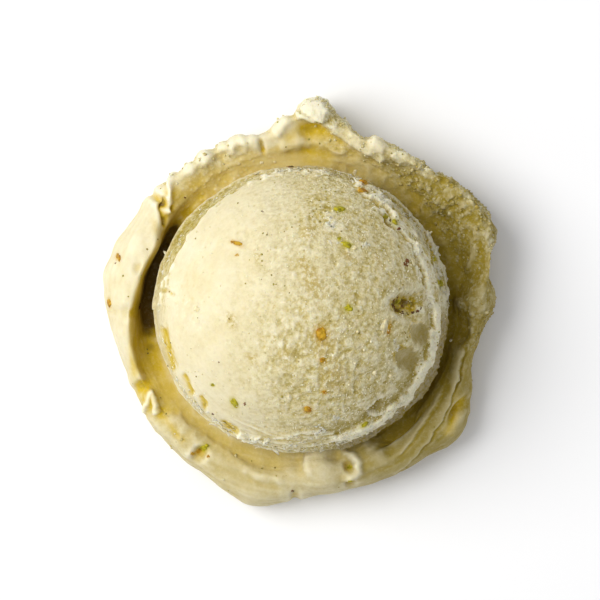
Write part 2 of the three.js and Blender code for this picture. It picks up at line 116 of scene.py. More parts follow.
DOME_CENTRE = (0.22, -1.53)
COLLAR_RADIUS = 36.3
FOOT_TUCK = 1.8
LOBES = np.array([  # direction, half width, reach
    (4, 7, 1.0), (21, 5, 1.1), (27, 11, 4.2), (39, 7, 1.3), (59, 8, 0.7), (71, 6, -1.0), (84.5, 8, 3.9),
    (107, 10, -1.2), (127, 8, -1.1), (144, 12, 0.8), (170, 16, 2.8), (222, 16, 0.7), (231, 6, 0.7),
    (255, 13, 3.4), (290, 8, 0.4), (304, 14, 1.3), (322, 10, 3.4), (345, 8, -1.3),
])
STATIONS = np.array([  # direction; groove foot radius, height; brim radius, height; crest radius, height
    (2, 29.8, 6.5, 32.0, 9.6, 35.2, 12.6), (18, 29.6, 7.5, 33.0, 9.4, 38.7, 13.8),
    (29, 29.6, 8.0, 33.4, 10.0, 39.7, 15.2), (39, 29.6, 8.5, 33.0, 10.6, 38.6, 15.2),
    (52, 29.5, 9.0, 32.4, 11.4, 36.2, 15.2), (70, 29.3, 9.5, 32.0, 11.6, 35.0, 15.6),
    (79, 29.1, 10.2, 33.2, 12.2, 37.4, 14.8), (86, 29.0, 10.6, 34.4, 12.8, 39.2, 15.4),
    (92, 28.9, 10.8, 33.0, 13.2, 37.0, 14.8), (100, 28.9, 10.8, 31.4, 12.6, 34.4, 13.8),
    (120, 29.1, 10.6, 31.6, 12.2, 34.6, 13.3), (134, 29.2, 10.2, 31.6, 12.0, 35.0, 13.0),
    (142, 29.3, 8.6, 31.4, 11.7, 35.0, 12.8), (149, 29.7, 6.0, 31.1, 12.2, 32.6, 13.8),
    (157, 30.2, 3.2, 30.4, 13.4, 31.1, 15.0), (170, 31.0, 2.6, 31.5, 12.4, 32.4, 15.2),
    (183, 31.0, 4.8, 32.3, 11.0, 33.8, 14.2), (193, 31.0, 7.8, 32.9, 10.4, 34.2, 12.8),
    (200, 30.9, 8.2, 33.0, 9.8, 34.3, 11.8),
    (209, 30.4, 8.8, 32.4, 9.5, 34.0, 10.4), (226, 29.9, 9.2, 31.6, 9.7, 33.2, 10.5),
    (258, 29.6, 9.2, 31.8, 9.7, 33.4, 10.5), (268, 29.0, 9.4, 31.0, 10.2, 33.0, 11.0),
    (276, 28.6, 11.6, 30.2, 12.2, 32.4, 12.2), (285, 28.8, 10.8, 31.0, 11.6, 33.4, 11.6),
    (295, 28.6, 10.8, 30.4, 11.8, 33.0, 12.0), (303, 29.3, 6.4, 30.9, 9.6, 34.2, 11.6),
    (312, 29.5, 6.6, 30.8, 9.8, 34.2, 11.4), (328, 29.5, 6.8, 30.7, 10.0, 34.0, 12.0),
    (345, 29.4, 6.6, 30.9, 10.0, 33.4, 12.0),
])
COLLAR_RIDGES = [  # line of (direction, radius), half width, height; cracks have a negative height
    ([(133, 36.4), (138.3, 34.2), (144, 32.4)], 0.5, 1.1),  # rolled fold at the tear
    ([(144, 34.2), (148.5, 31.4)], 0.4, -0.7),
    ([(90.5, 37.3), (87, 37.0), (83, 37.5)], 0.5, 1.0),  # lip over the hollow of the knob
    ([(94.5, 36.8), (98, 34.8)], 1.1, 1.0),
    ([(84, 37.6), (79, 35.8), (75, 34.7), (68.7, 33.6), (62, 33.8)], 1.0, 0.9),
    ([(76, 32.0), (84, 32.6), (90, 32.8), (96, 32.2)], 1.2, 0.8),  # smooth fold behind the dome
    ([(50, 36.2), (56, 35.4), (62, 34.6)], 0.9, 0.8),  # torn edges on the shoulder
    ([(14, 33.6), (19, 36.4)], 0.9, 0.9),
    ([(213.4, 36.1), (209.3, 33.8), (215.3, 34.5)], 0.5, 0.8),  # small torn tongue
    ([(216, 36.0), (224, 35.6), (232, 35.8)], 1.1, 0.6),
    ([(222, 32.2), (230, 31.8), (238, 31.6), (246, 32.2), (251, 32.9), (256, 33.6), (262, 33.6)], 1.0, 0.45),
    ([(328.5, 38.8), (333, 37.2), (341, 35.8)], 0.7, 0.6),  # outer sheet, front right
    ([(287, 29.6), (289.4, 30.5), (290.4, 32.1), (289.2, 33.5), (286.6, 34.0)], 1.0, 1.2),  # curl
    ([(273.2, 31.4), (272.6, 29.2)], 0.8, 0.55),
    ([(279, 33.4), (278, 29.2)], 3.0, 0.7),  # edges of the soft bridge
    ([(298, 33.0), (300, 30.2)], 1.8, 0.4),
]
COLLAR_SHEETS = [  # edge as (direction, radius), height of the step, how far the sheet swells up to it; front right
    ([(333, 34.0), (338.4, 33.5), (346, 32.9)], 0.9, 1.8),
    ([(318, 35.6), (327, 34.5), (336, 33.7)], 0.35, 1.6),
    ([(305, 34.6), (312, 33.4), (322, 32.5), (330, 32.0)], 0.3, 1.2),
    ([(300, 37.2), (310, 36.2), (318, 35.4)], 0.35, 1.0),
]
COLLAR_HOLLOWS = [  # (direction, radius), half size along the radius and round the collar, depth; lumps are negative
    ((142.4, 34.8), (2.4, 0.9), 1.7),  # notch of the tear
    ((87.5, 35.6), (1.5, 3.2), 0.5),  # under the knob
    ((87, 39.6), (2.0, 3.6), -1.5),  # the knob's head
    ((103.4, 32.6), (1.4, 0.5), 0.8),  # cleft beside the knob
    ((105.8, 33.8), (1.4, 1.0), -0.6),  # soft lumps along the back
    ((111, 34.4), (1.6, 2.2), -1.4),
    ((111, 33.6), (0.8, 1.0), 0.9),
    ((117.8, 33.4), (1.2, 1.2), 0.6),
    ((122.5, 34.9), (1.3, 1.8), -1.2),
    ((128.5, 34.8), (1.2, 1.4), -0.8),
    ((116, 35.2), (1.0, 1.0), -0.8),
    ((65.5, 35.4), (1.2, 1.6), -1.0),
    ((14, 32.6), (2.0, 4.2), 1.1),  # smooth hollow under the shoulder
    ((2, 31.8), (1.3, 1.6), -0.9),  # lumps on the right
    ((3, 35.6), (3.0, 3.2), -1.0),
    ((352, 31.4), (1.6, 2.6), 1.0),
    ((159, 34.2), (1.4, 2.2), -0.5),  # the left wall is a little uneven
    ((166, 32.9), (0.9, 1.2), 0.5),
    ((176, 35.4), (2.0, 2.6), -0.45),
    ((181, 34.2), (0.9, 1.4), 0.5),
    ((189, 35.4), (1.6, 2.0), -0.4),
    ((206, 35.0), (2.0, 1.3), 1.0),
    ((217, 33.4), (1.0, 1.4), 0.8),
    ((235, 34.6), (1.5, 1.2), 1.6),  # pit with nuts
    ((268.2, 37.4), (1.6, 0.9), 0.7),  # crease beside the bridge
    ((283, 29.6), (1.2, 2.0), 0.6),
    ((286.6, 32.1), (1.1, 0.8), 1.6),  # mouth of the curl
    ((285.8, 35.4), (0.6, 1.0), 1.2),
    ((327, 36.7), (1.0, 2.6), 2.4),  # pocket between the sheets
    ((309, 30.6), (0.8, 4.2), 2.2),  # deep fold beside the cut wall
]
CRUMBLY = [(38, 28, 1.2), (82, 10, 0.8), (120, 16, 0.3), (356, 12, 0.55), (228, 16, 0.12)]  # direction, width, amount
OLIVE_SHADE_SIDE = np.array([  # direction, share of olive in the collar's colour: painted shade, strongest on the right, away from the window
    (-90, 0.4), (-80, 0.35), (-73, 0.65), (-62, 1.05), (-45, 1.22), (0, 1.22), (30, 1.2), (46, 1.0), (56, 0.65),
    (66, 0.35), (76, 0.2), (92, 0.0), (125, 0.0), (190, 0.0), (215, 0.2), (240, 0.5),
]).T
GOLD_SIDE = np.array([  # direction, radius where the gold is full, where it ends, its strength, what is left past it; the gold is partly the gelato's own colour and partly painted shade in the groove
    (0, 31.0, 32.5, 0.25, 0), (60, 31.0, 33.0, 0.3, 0), (75, 33.0, 35.0, 0.45, 0), (84, 36.0, 37.6, 0.7, 0),
    (92, 34.5, 36.5, 0.55, 0), (100, 31.0, 33.2, 0.5, 0), (120, 31.0, 33.8, 0.62, 0), (134, 32.2, 35.2, 0.75, 0),
    (142, 34.5, 36.8, 0.78, 0), (149, 30.8, 31.8, 0.8, 0), (157, 30.4, 31.0, 1, 0), (170, 31.9, 32.5, 1, 0),
    (183, 33.2, 33.8, 1, 0), (193, 34.0, 34.7, 0.9, 0), (200, 34.6, 35.8, 0.85, 0.05), (208, 36.0, 37.6, 0.8, 0.25),
    (214, 34.0, 36.0, 0.75, 0.3), (221, 31.0, 32.6, 0.55, 0.15), (240, 31.0, 33.0, 0.5, 0.15),
    (262, 31.0, 33.0, 0.4, 0.12), (272, 29.0, 30.0, 0.1, 0), (290, 29.0, 31.0, 0.1, 0), (305, 30.6, 32.0, 0.4, 0),
]).T
COLLAR_COLUMNS = 780


def smooth(t):
    """Eases 0 to 1: 3t^2 - 2t^3."""
    return t * t * (3 - 2 * t)


def smoothstep(low, high, x):
    """0 below low, 1 above high, eased between."""
    return smooth(np.clip((x - low) / (high - low), 0, 1))


def swell(angle, at, width):
    """Gaussian bump round the dome: e to minus the squared angle from its middle over its width."""
    return np.exp(-((((angle - at + 180) % 360 - 180) / width) ** 2))


def corner_value(i, j, k):
    """A repeatable number from -1 to 1 for each corner of a cubic lattice: the fraction of a large sine."""
    s = np.sin(i * 127.1 + j * 311.7 + k * 74.7) * 43758.5453
    return 2 * (s - np.floor(s)) - 1


def noise(p, size):
    """Smooth noise from -1 to 1 with cells of the given size: corner values blended by 3t^2 - 2t^3."""
    q = np.asarray(p) / size
    cell = np.floor(q)
    i, j, k = np.moveaxis(cell, -1, 0)
    u, v, w = np.moveaxis(smooth(q - cell), -1, 0)
    total = 0
    for a in (0, 1):
        for b in (0, 1):
            for c in (0, 1):
                share = (u if a else 1 - u) * (v if b else 1 - v) * (w if c else 1 - w)
                total = total + share * corner_value(i + a, j + b, k + c)
    return total


def crag(p, size):
    """Torn gelato: ridges where the noise crosses zero, at two sizes, from about -1 to 1."""
    return 0.65 * (1 - 2 * np.abs(noise(p, size))) + 0.35 * (1 - 2 * np.abs(noise(p, size / 2.1)))


def grains(p, size):
    """Round grains: 1 at scattered points, one in each cubic cell, falling to 0 at half a cell from them."""
    q = np.asarray(p) / size
    cell = np.floor(q)
    nearest = np.full(q.shape[:-1], 9.0)
    for a in (-1, 0, 1):
        for b in (-1, 0, 1):
            for c in (-1, 0, 1):
                i, j, k = np.moveaxis(cell + (a, b, c), -1, 0)
                middle = np.stack([corner_value(i, j, k), corner_value(j, k, i), corner_value(k, i, j)], -1)
                gap = q - (cell + (a, b, c) + 0.5 + 0.38 * middle)
                nearest = np.minimum(nearest, (gap**2).sum(-1))
    return 1 - smoothstep(0.0, 0.5, np.sqrt(nearest))


def in_plan(places):
    """Places (direction, radius) as x and y."""
    a, r = np.moveaxis(np.asarray(places, float), -1, 0)
    return np.stack([r * np.cos(np.radians(a)), r * np.sin(np.radians(a))], -1)


def ridges_at(p, ridges):
    """Sum of the ridges: each is its height times a Gaussian of the plan distance to its wandering line, over its
    width."""
    total = 0
    wander = np.stack([0.3 * noise(q, 2.2) + 0.15 * noise(q, 0.9) for q in (p, p + 50.0)], -1)
    p = p[..., :2] + wander
    for line, width, height in ridges:
        corners = in_plan(line)
        gap = np.full(p.shape[:-1], 1e9)
        for a, b in zip(corners[:-1], corners[1:]):
            t = np.clip(((p - a) @ (b - a)) / ((b - a) @ (b - a)), 0, 1)
            gap = np.minimum(gap, np.linalg.norm(p - a - t[..., None] * (b - a), axis=-1))
        total = total + height * np.exp(-((gap / width) ** 2))
    return total


def hollows_at(p, hollows):
    """Sum of the dents, as negative heights: e to minus a power of the distance over the half sizes, flat inside."""
    total = 0
    for (direction, radius), (across, along), depth in hollows:
        c, s = math.cos(math.radians(direction)), math.sin(math.radians(direction))
        u = (p[..., 0] * c + p[..., 1] * s - radius) / across
        v = (p[..., 1] * c - p[..., 0] * s) / along
        total = total - depth * np.exp(-((u**2 + v**2) ** 1.4))
    return total


def sheets_at(p, sheets, side):
    """Overlapping torn sheets: the surface swells up to each edge as a Gaussian of the gap, then steps down past it
    into a thin crack. side is 1 where the sheet lies inside its edge and -1 where it lies outside."""
    direction, radius = np.degrees(np.arctan2(p[..., 1], p[..., 0])) % 360, np.hypot(p[..., 0], p[..., 1])
    wander = 0.25 * noise(p, 1.7) + 0.12 * noise(p, 0.7)
    total = 0
    for edge, height, reach in sheets:
        at, out = np.array(edge).T
        gap = side * (radius - np.interp(direction, at, out)) + wander
        ends = smoothstep(at[0] - 3, at[0] + 3, direction) * (1 - smoothstep(at[-1] - 3, at[-1] + 3, direction))
        swelling = np.exp(-((np.minimum(gap, 0) / reach) ** 2)) * smoothstep(0.12, -0.12, gap)
        total = total + height * ends * (swelling - 0.6 * np.exp(-(((gap - 0.25) / 0.22) ** 2)))
    return total


def through_controls(controls, steps):
    """Smooth curves through rows of control points: on each stretch a cubic whose end slopes come from the
    neighbouring points, each gap weighed by the square root of its length. steps is the points per stretch."""
    first = 2 * controls[:, :1] - controls[:, 1:2]
    last = 2 * controls[:, -1:] - controls[:, -2:-1]
    c = np.concatenate([first, controls, last], 1)
    gap = np.maximum(np.linalg.norm(np.diff(c, axis=1), axis=-1), 1e-4)[..., None] ** 0.5
    rows = []
    for k, count in enumerate(steps):
        p0, p1, p2, p3 = c[:, k], c[:, k + 1], c[:, k + 2], c[:, k + 3]
        d0, d1, d2 = gap[:, k], gap[:, k + 1], gap[:, k + 2]
        m1 = ((p1 - p0) / d0 - (p2 - p0) / (d0 + d1) + (p2 - p1) / d1) * d1
        m2 = ((p2 - p1) / d1 - (p3 - p1) / (d1 + d2) + (p3 - p2) / d2) * d1
        t = (np.arange(count) / count)[None, :, None]
        p1, p2, m1, m2 = p1[:, None], p2[:, None], m1[:, None], m2[:, None]
        rows.append(p1 + t * m1 + t**2 * (3 * (p2 - p1) - 2 * m1 - m2) + t**3 * (2 * (p1 - p2) + m1 + m2))
    rows.append(controls[:, -1:])
    return np.concatenate(rows, 1)


def turned_quads(index):
    """Quads between the columns of a turned grid of vertex numbers, whose rows run outwards and down."""
    beside = np.roll(index, -1, 0)
    return np.stack([index[:, :-1], index[:, 1:], beside[:, 1:], beside[:, :-1]], -1).reshape(-1, 4)


def gathered(values, quads, count):
    """Each quad's value added up at its four corners."""
    return np.stack([np.bincount(quads.ravel(), np.repeat(v, 4), count) for v in values.T], -1)


def outward(points, quads):
    """Unit normals: the crossed diagonals of the quads round each vertex, summed."""
    a, b, c, d = points[quads.T]
    n = gathered(np.cross(c - a, d - b), quads, len(points))
    return n / np.maximum(np.linalg.norm(n, axis=1, keepdims=True), 1e-9)


def hollowness(points, quads, reach):
    """How far each vertex lies below the mean of those round it, along its normal, in millimetres."""
    share = np.maximum(np.bincount(quads.ravel(), minlength=len(points)), 1)[:, None]
    mean = points
    for _ in range(reach):
        mean = gathered(mean[quads].mean(1), quads, len(points)) / share
    return ((mean - points) * outward(mean, quads)).sum(-1)


def gelato_piece(name, points, faces, marks):
    """A smooth shaded object from points in millimetres about the dome's centre; marks are vertex values."""
    mesh = bpy.data.meshes.new(name)
    mesh.from_pydata(((points + (*DOME_CENTRE, 0)) * 0.001).tolist(), [], faces)
    for mark, values in marks.items():
        mesh.attributes.new(mark, "FLOAT", "POINT").data.foreach_set("value", values.astype(np.float32))
    mesh.shade_smooth()
    piece = bpy.data.objects.new(name, mesh)
    scene.collection.objects.link(piece)
    return piece


angle = np.arange(COLLAR_COLUMNS) * 360.0 / COLLAR_COLUMNS
after = np.searchsorted(STATIONS[:, 0], angle, side="right") % len(STATIONS)
before = after - 1
share = ((angle - STATIONS[before, 0]) % 360) / ((STATIONS[after, 0] - STATIONS[before, 0]) % 360)
share = smooth(share)[:, None]
foot_r, foot_z, brim_r, brim_z, crest_r, crest_z = (
    STATIONS[before, 1:] * (1 - share) + STATIONS[after, 1:] * share
).T
outer = COLLAR_RADIUS + sum(reach * swell(angle, at, width) for at, width, reach in LOBES)
blank = np.zeros_like(angle)
outer = outer + 0.35 * noise(np.stack([angle / 5, blank + 7.7, blank], -1), 1.0)
controls = np.stack([
    np.stack([blank + 26.6, foot_z], -1),
    np.stack([foot_r - 0.3, foot_z], -1),
    np.stack([0.4 * foot_r + 0.6 * brim_r, 0.5 * foot_z + 0.5 * brim_z], -1),
    np.stack([brim_r, brim_z], -1),
    np.stack([crest_r, crest_z], -1),
    np.stack([0.3 * crest_r + 0.7 * outer, 0.72 * crest_z + 0.28 * 4], -1),
    np.stack([outer, 0.4 * crest_z], -1),
    np.stack([outer - 0.45 * FOOT_TUCK, blank + 1.4], -1),
    np.stack([outer - FOOT_TUCK, blank], -1),
], 1)
shown = through_controls(controls, [7, 13, 13, 18, 20, 20, 17, 6])
under = np.repeat([[[20.0, 0.0]]], COLLAR_COLUMNS, 0)
inner = np.repeat([[[24.0, 5.0]]], COLLAR_COLUMNS, 0)
shown = np.concatenate([inner, shown, under], 1)
turn = np.radians(angle)[:, None]
collar = np.stack([shown[..., 0] * np.cos(turn), shown[..., 0] * np.sin(turn), shown[..., 1]], -1).reshape(-1, 3)
collar = np.concatenate([collar, [(0, 0, 5), (0, 0, 0)]])
index = np.arange(len(collar) - 2).reshape(COLLAR_COLUMNS, -1)
beside = np.roll(index, -1, 0)
collar_quads = turned_quads(index)
collar_ends = np.concatenate([
    np.stack([0 * index[:, 0] + len(collar) - 2, index[:, 0], beside[:, 0]], -1),
    np.stack([0 * index[:, 0] + len(collar) - 1, beside[:, -1], index[:, -1]], -1),
])
az = np.degrees(np.arctan2(collar[:, 1], collar[:, 0]))
radius = np.hypot(collar[:, 0], collar[:, 1])
profile = np.stack([radius, collar[:, 2], az / 28], -1)
off_floor = smoothstep(0.4, 3.5, collar[:, 2])
torn = sum(amount * swell(az, at, width) for at, width, amount in CRUMBLY)
crest_here, top_here, foot_here = (np.interp(az, angle, v, period=360) for v in (crest_r, crest_z, foot_z))
sheltered = 1 - smoothstep(30.5, 33.5, radius)  # the groove and the lower inner wall stay smooth
behind = swell(az, 92, 19) * (1 - smoothstep(35.8, 37.0, radius))  # smooth inner wall under the knob
torn = torn * (1 - behind)
large = ridges_at(collar, COLLAR_RIDGES) + hollows_at(collar, COLLAR_HOLLOWS) + sheets_at(collar, COLLAR_SHEETS, 1)
large = large + (0.8 * torn + 0.14) * crag(collar, 5.2)
collar = collar + outward(collar, collar_quads) * (off_floor * large)[:, None]
rough = np.clip(torn * (1 - 0.8 * sheltered), 0, 1.2)
lumps = 0.42 * grains(collar, 2.7) + 0.42 * grains(collar, 1.5) + 0.34 * grains(collar, 0.85) - 0.45
streaks = 0.09 * noise(profile, 1.1) + 0.05 * noise(profile * (1, 1, 2), 0.6)
fine = rough * lumps + 0.06 * noise(collar, 2.6) + streaks * (1 - rough)
fine = fine + 0.16 * swell(az, 122, 20) * (1 - smoothstep(33.0, 35.0, radius)) * grains(collar, 0.95)
collar = collar + outward(collar, collar_quads) * (off_floor * fine)[:, None]
collar[:, 2] = np.maximum(collar[:, 2], 0)
collar_out = outward(collar, collar_quads)
dip = hollowness(collar, collar_quads, 6) + 0.5 * hollowness(collar, collar_quads, 34)
depth = 1 - smoothstep(0.0, 1.0, (collar[:, 2] - foot_here) / (top_here - foot_here))
left = swell(az, 165, 20)
full, end, strength, rest = (np.interp(az, GOLD_SIDE[0], row, period=360) for row in GOLD_SIDE[1:])
sunk = rest + (strength - rest) * smoothstep(end, full, radius + 0.5 * noise(profile * (1, 1, 3), 1.5))
golden_shade_lines = [  # line, half width, share: painted golden shade in the crease at the front left and the pocket at the front right
    ([(216, 34.6), (222, 34.2), (228, 34.8)], 0.7, 0.6), ([(330, 36.0), (321, 37.4)], 1.2, 0.9),
    ([(142.4, 35.4), (144.5, 33.6), (148.5, 31.2), (150.5, 29.6)], 0.55, 0.5),  # the tear
    ([(149.5, 33.2), (151.5, 32.2)], 0.8, 0.45),
]
# painted shade: the gold deepens towards the bottom of the groove on the left
sunk = 0.66 * np.clip(sunk + ridges_at(collar, golden_shade_lines), 0, 1) + 0.34 * left * smoothstep(0.5, 0.95, depth)
crest_gap = radius - crest_here + noise(collar, 2.5)
crest_light = swell(az, 48, 20) * smoothstep(-3.0, 0.5, crest_gap)
crest_light = crest_light + swell(az, 22, 14) * smoothstep(-1.2, 0.8, crest_gap)
crest_light = crest_light * np.clip(0.6 + 1.5 * noise(collar, 1.2), 0, 1.5)  # torn crumbs catch the light
crest_light = crest_light * smoothstep(-5.5, -1.5, collar[:, 2] - top_here)
# painted shade: concave places turn gold
dents = np.clip(dip, 0, 0.4) * (1 - 0.7 * rough) * (1 - 0.6 * swell(az, -15, 60))
calm = (1 - 0.6 * swell(az, -15, 55)) * (1 - 0.6 * swell(az, 36, 32))
collar_marks = {
    # partly painted shade: the coarse tint is raised on the front right, away from the window
    "torn": np.clip(0.75 * rough + 0.25 * swell(az, -25, 60), 0, 1),
    "gold_and_shade": np.clip(sunk * (1 - 0.5 * rough) + dents, 0, 1),
    # painted highlight: convex edges, the knob's head and the back crest are lightened, partly the pale of torn edges
    "pale": np.clip(-2.0 * dip, 0, 1) * calm + 0.3 * swell(az, 86, 7) * (radius > 38)
    + 0.38 * crest_light + 0.3 * swell(az, 128, 15) * smoothstep(-1.5, 0.5, radius - crest_here),
    # painted shade: olive on the right of the collar, the side away from the window
    "olive": np.interp(az, *OLIVE_SHADE_SIDE, period=360) * (1 - 0.4 * crest_light),
}
collar_piece = gelato_piece("collar_and_base", collar, collar_quads.tolist() + collar_ends.tolist(), collar_marks)


def gelato_material(name, cream, shade, coarse, olive, dark, gold, deep, pale, cut, smudge, green, roasted, speck):
    """Frozen pistachio gelato: two creams in soft patches, greener where coarse, stained round the nuts, with tiny nut
    specks. Painted shade: gold turning deep brown in hollows and grooves, the gold partly its own colour, and olive on
    the side away from the window. Painted highlight: pale on raised edges, partly the pale of torn gelato. It lets a
    little light through, shines softly where smooth and is dull and grainy where torn."""
    material = bpy.data.materials.new(name)
    material.use_nodes = True
    tree = material.node_tree
    shader = tree.nodes["Principled BSDF"]
    place = tree.nodes.new("ShaderNodeTexCoord")

    def mark(which):
        node = tree.nodes.new("ShaderNodeAttribute")
        node.attribute_name = which
        return node.outputs["Fac"]

    def patches(scale, detail, sharpness=0.5):
        node = tree.nodes.new("ShaderNodeTexNoise")
        node.inputs["Scale"].default_value = scale
        node.inputs["Detail"].default_value = detail
        node.inputs["Roughness"].default_value = sharpness
        tree.links.new(place.outputs["Object"], node.inputs["Vector"])
        return node.outputs["Fac"]

    def ranged(value, low, high, to_low=0.0, to_high=1.0):
        node = tree.nodes.new("ShaderNodeMapRange")
        node.inputs["From Min"].default_value = low
        node.inputs["From Max"].default_value = high
        node.inputs["To Min"].default_value = to_low
        node.inputs["To Max"].default_value = to_high
        tree.links.new(value, node.inputs["Value"])
        return node.outputs["Result"]

    def blend(factor, first, second):
        node = tree.nodes.new("ShaderNodeMix")
        node.data_type = "RGBA"
        for value, socket in ((factor, 0), (first, 6), (second, 7)):
            if isinstance(value, tuple):
                node.inputs[socket].default_value = (*value, 1)
            else:
                tree.links.new(value, node.inputs[socket])
        return node.outputs[2]

    def times(first, second):
        node = tree.nodes.new("ShaderNodeMath")
        node.operation = "MULTIPLY"
        tree.links.new(first, node.inputs[0])
        if isinstance(second, float):
            node.inputs[1].default_value = second
        else:
            tree.links.new(second, node.inputs[1])
        return node.outputs[0]

    crumb = patches(1300, 5, 0.68)
    less_pale = ranged(mark("olive"), 0.0, 1.0, 1.0, 0.4)
    colour = blend(ranged(patches(150, 4, 0.6), 0.35, 0.65), cream, shade)
    # the torn mark is partly real coarse gelato and partly painted shade on the side away from the window
    colour = blend(times(mark("torn"), 0.9), colour, coarse)
    colour = blend(times(mark("olive"), 0.8), colour, olive)
    # painted shade: the gold turns deep brown where the hollows are deepest
    gold_and_shade = blend(ranged(mark("gold_and_shade"), 0.7, 1.0), gold, deep)
    colour = blend(times(ranged(mark("gold_and_shade"), 0.0, 0.66), 0.97), colour, gold_and_shade)
    colour = blend(times(ranged(crumb, 0.5, 0.38), ranged(mark("torn"), 0.0, 0.6, 0.06, 0.75)), colour, dark)
    light_crumbs = times(ranged(crumb, 0.52, 0.62), less_pale)
    colour = blend(times(light_crumbs, ranged(mark("torn"), 0.0, 0.6, 0.08, 0.5)), colour, pale)
    frost = patches(520, 4, 0.65)
    colour = blend(times(ranged(frost, 0.45, 0.36), ranged(mark("torn"), 0.0, 0.5, 0.05, 0.5)), colour, olive)
    frosted = times(ranged(frost, 0.55, 0.64), less_pale)
    colour = blend(times(frosted, ranged(mark("torn"), 0.0, 0.5, 0.05, 0.32)), colour, pale)
    colour = blend(times(mark("cut"), 0.85), colour, blend(ranged(crumb, 0.40, 0.54), dark, cut))
    # painted highlight: the pale mark lightens raised edges, partly the pale colour of torn gelato
    colour = blend(times(mark("pale"), 0.92), colour, pale)
    colour = blend(times(mark("white"), ranged(crumb, 0.44, 0.52, 0.35, 1.0)), colour, pale)
    colour = blend(times(mark("smudge"), ranged(crumb, 0.56, 0.44, 0.05, 0.85)), colour, smudge)
    colour = blend(times(mark("green"), 0.85), colour, green)
    colour = blend(times(mark("roasted"), 0.85), colour, roasted)
    specks = tree.nodes.new("ShaderNodeTexVoronoi")
    specks.inputs["Scale"].default_value = 620.0
    tree.links.new(place.outputs["Object"], specks.inputs["Vector"])
    chosen = ranged(specks.outputs["Color"], 0.80, 0.82)
    near = ranged(specks.outputs["Distance"], 0.10, 0.17, 1.0, 0.0)
    colour = blend(times(times(chosen, near), ranged(mark("torn"), 0.0, 0.5, 0.15, 0.75)), colour, speck)
    tree.links.new(colour, shader.inputs["Base Color"])

    torn_mark = mark("torn")
    bump = tree.nodes.new("ShaderNodeBump")
    bump.inputs["Distance"].default_value = 0.0006
    tree.links.new(ranged(torn_mark, 0.0, 1.0, 0.15, 1.0), bump.inputs["Strength"])
    tree.links.new(crumb, bump.inputs["Height"])
    tree.links.new(bump.outputs["Normal"], shader.inputs["Normal"])
    tree.links.new(ranged(torn_mark, 0.0, 0.8, 0.45, 0.7), shader.inputs["Roughness"])
    shader.inputs["IOR"].default_value = 1.36
    shader.inputs["Specular IOR Level"].default_value = 0.22
    shader.inputs["Subsurface Weight"].default_value = 0.3
    shader.inputs["Subsurface Radius"].default_value = (1.0, 0.75, 0.3)
    shader.inputs["Subsurface Scale"].default_value = 0.001
    return material


# deep is the painted shade colour of the deepest hollows
gelato = gelato_material(
    "pistachio_gelato", cream=(0.74, 0.67, 0.45), shade=(0.69, 0.60, 0.35), coarse=(0.55, 0.43, 0.08),
    olive=(0.30, 0.22, 0.018), dark=(0.34, 0.25, 0.03), gold=(0.60, 0.42, 0.012), deep=(0.18, 0.10, 0.001),
    pale=(0.90, 0.85, 0.63), cut=(0.44, 0.37, 0.23), smudge=(0.50, 0.38, 0.12), green=(0.50, 0.42, 0.015),
    roasted=(0.58, 0.34, 0.02), speck=(0.30, 0.20, 0.05),
)
collar_piece.data.materials.append(gelato)
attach(collar_piece, "root")
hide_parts("gelato_scoop")

# ---------------------------------------------------------------------------------------------------------------------
# The dome: gelato packed into the round bowl and released. The left is pressed smooth; the middle is grainy with ice;
# the rim is torn, with a ragged fin above a cut wall at the front right and flakes and pits along the right.

SCOOP_HEIGHT = 41.5
RIM_HEIGHT = 13.5
DOME_RADIUS = (28.3, 27.4)
RIM_LIP = 0.5
CAP_TILT = 86  # degrees from the top to the rim
DOME_RINGS = 130  # steps from the top to the rim; the grid is square and wraps into rings of eight times as many
DOME_PITS = [  # (direction, radius), half size along the radius and round the dome, depth
    ((2.5, 20.9), (3.1, 1.9), 2.4),  # torn pit with nuts
    ((-3.5, 22.2), (1.4, 0.9), 1.0),
    ((-11.4, 23.4), (1.7, 1.9), 1.2),  # two smooth craters
    ((-25.3, 22.8), (2.3, 2.0), 1.4),
    ((-52.8, 23.8), (0.7, 2.2), 1.3),  # slit under a curl
    ((44.5, 24.0), (0.6, 2.2), 1.4),  # slit behind the torn sheet
]
DOME_SCRAPES = [  # line of (direction, radius), half width, height: shallow scrapes along the left of the rim, painted golden as shade
    ([(189, 27.0), (196, 26.9), (204, 27.3)], 0.85, -0.4),
    ([(210, 25.9), (217, 26.4)], 0.6, -0.35),
    ([(221.5, 25.8), (225.5, 26.4)], 0.5, -0.35),
    ([(236, 26.6), (241, 26.8)], 0.7, -0.45),
]
DOME_SHEETS = [  # edge as (direction, radius), height, reach: the cream sheet that was torn back at the upper right
    ([(4, 25.2), (10, 24.8), (16, 24.3), (22, 24.9), (25, 24.2), (29, 24.7), (33, 24.2), (38, 24.7), (44, 24.6),
      (48, 25.1), (52, 24.8), (56, 25.4), (60, 25.1), (66, 26.0)], 0.6, 1.6),
]
DOME_TEARS = [  # line of (direction, radius), half width, height: torn edges above, cracks below
    ([(57.5, 25.6), (54, 26.6), (49, 26.2)], 0.5, 0.6),
    ([(31, 24.6), (26, 25.2)], 0.6, 0.7),
    ([(66, 26.4), (60, 26.9), (55, 26.9)], 0.5, 0.9),
    ([(112, 26.4), (101, 26.6), (90, 26.8), (79, 26.6)], 0.5, 0.6),
    ([(-51, 25.2), (-54, 25.0), (-57, 24.2)], 0.4, 0.7),
    ([(258, 25.4), (268, 24.2), (276, 23.8), (284, 24.6)], 0.4, 0.3),  # layers along the front of the rim
    ([(244, 26.6), (248, 27.0), (251, 26.4)], 0.4, 0.9),
    ([(252, 26.0), (254, 26.8), (256, 26.0)], 0.3, 0.7),
    ([(161, 26.2), (170, 27.0), (178, 27.4)], 0.5, 0.5),
    ([(173, 24.6), (172, 27.2)], 0.35, -0.4),
]
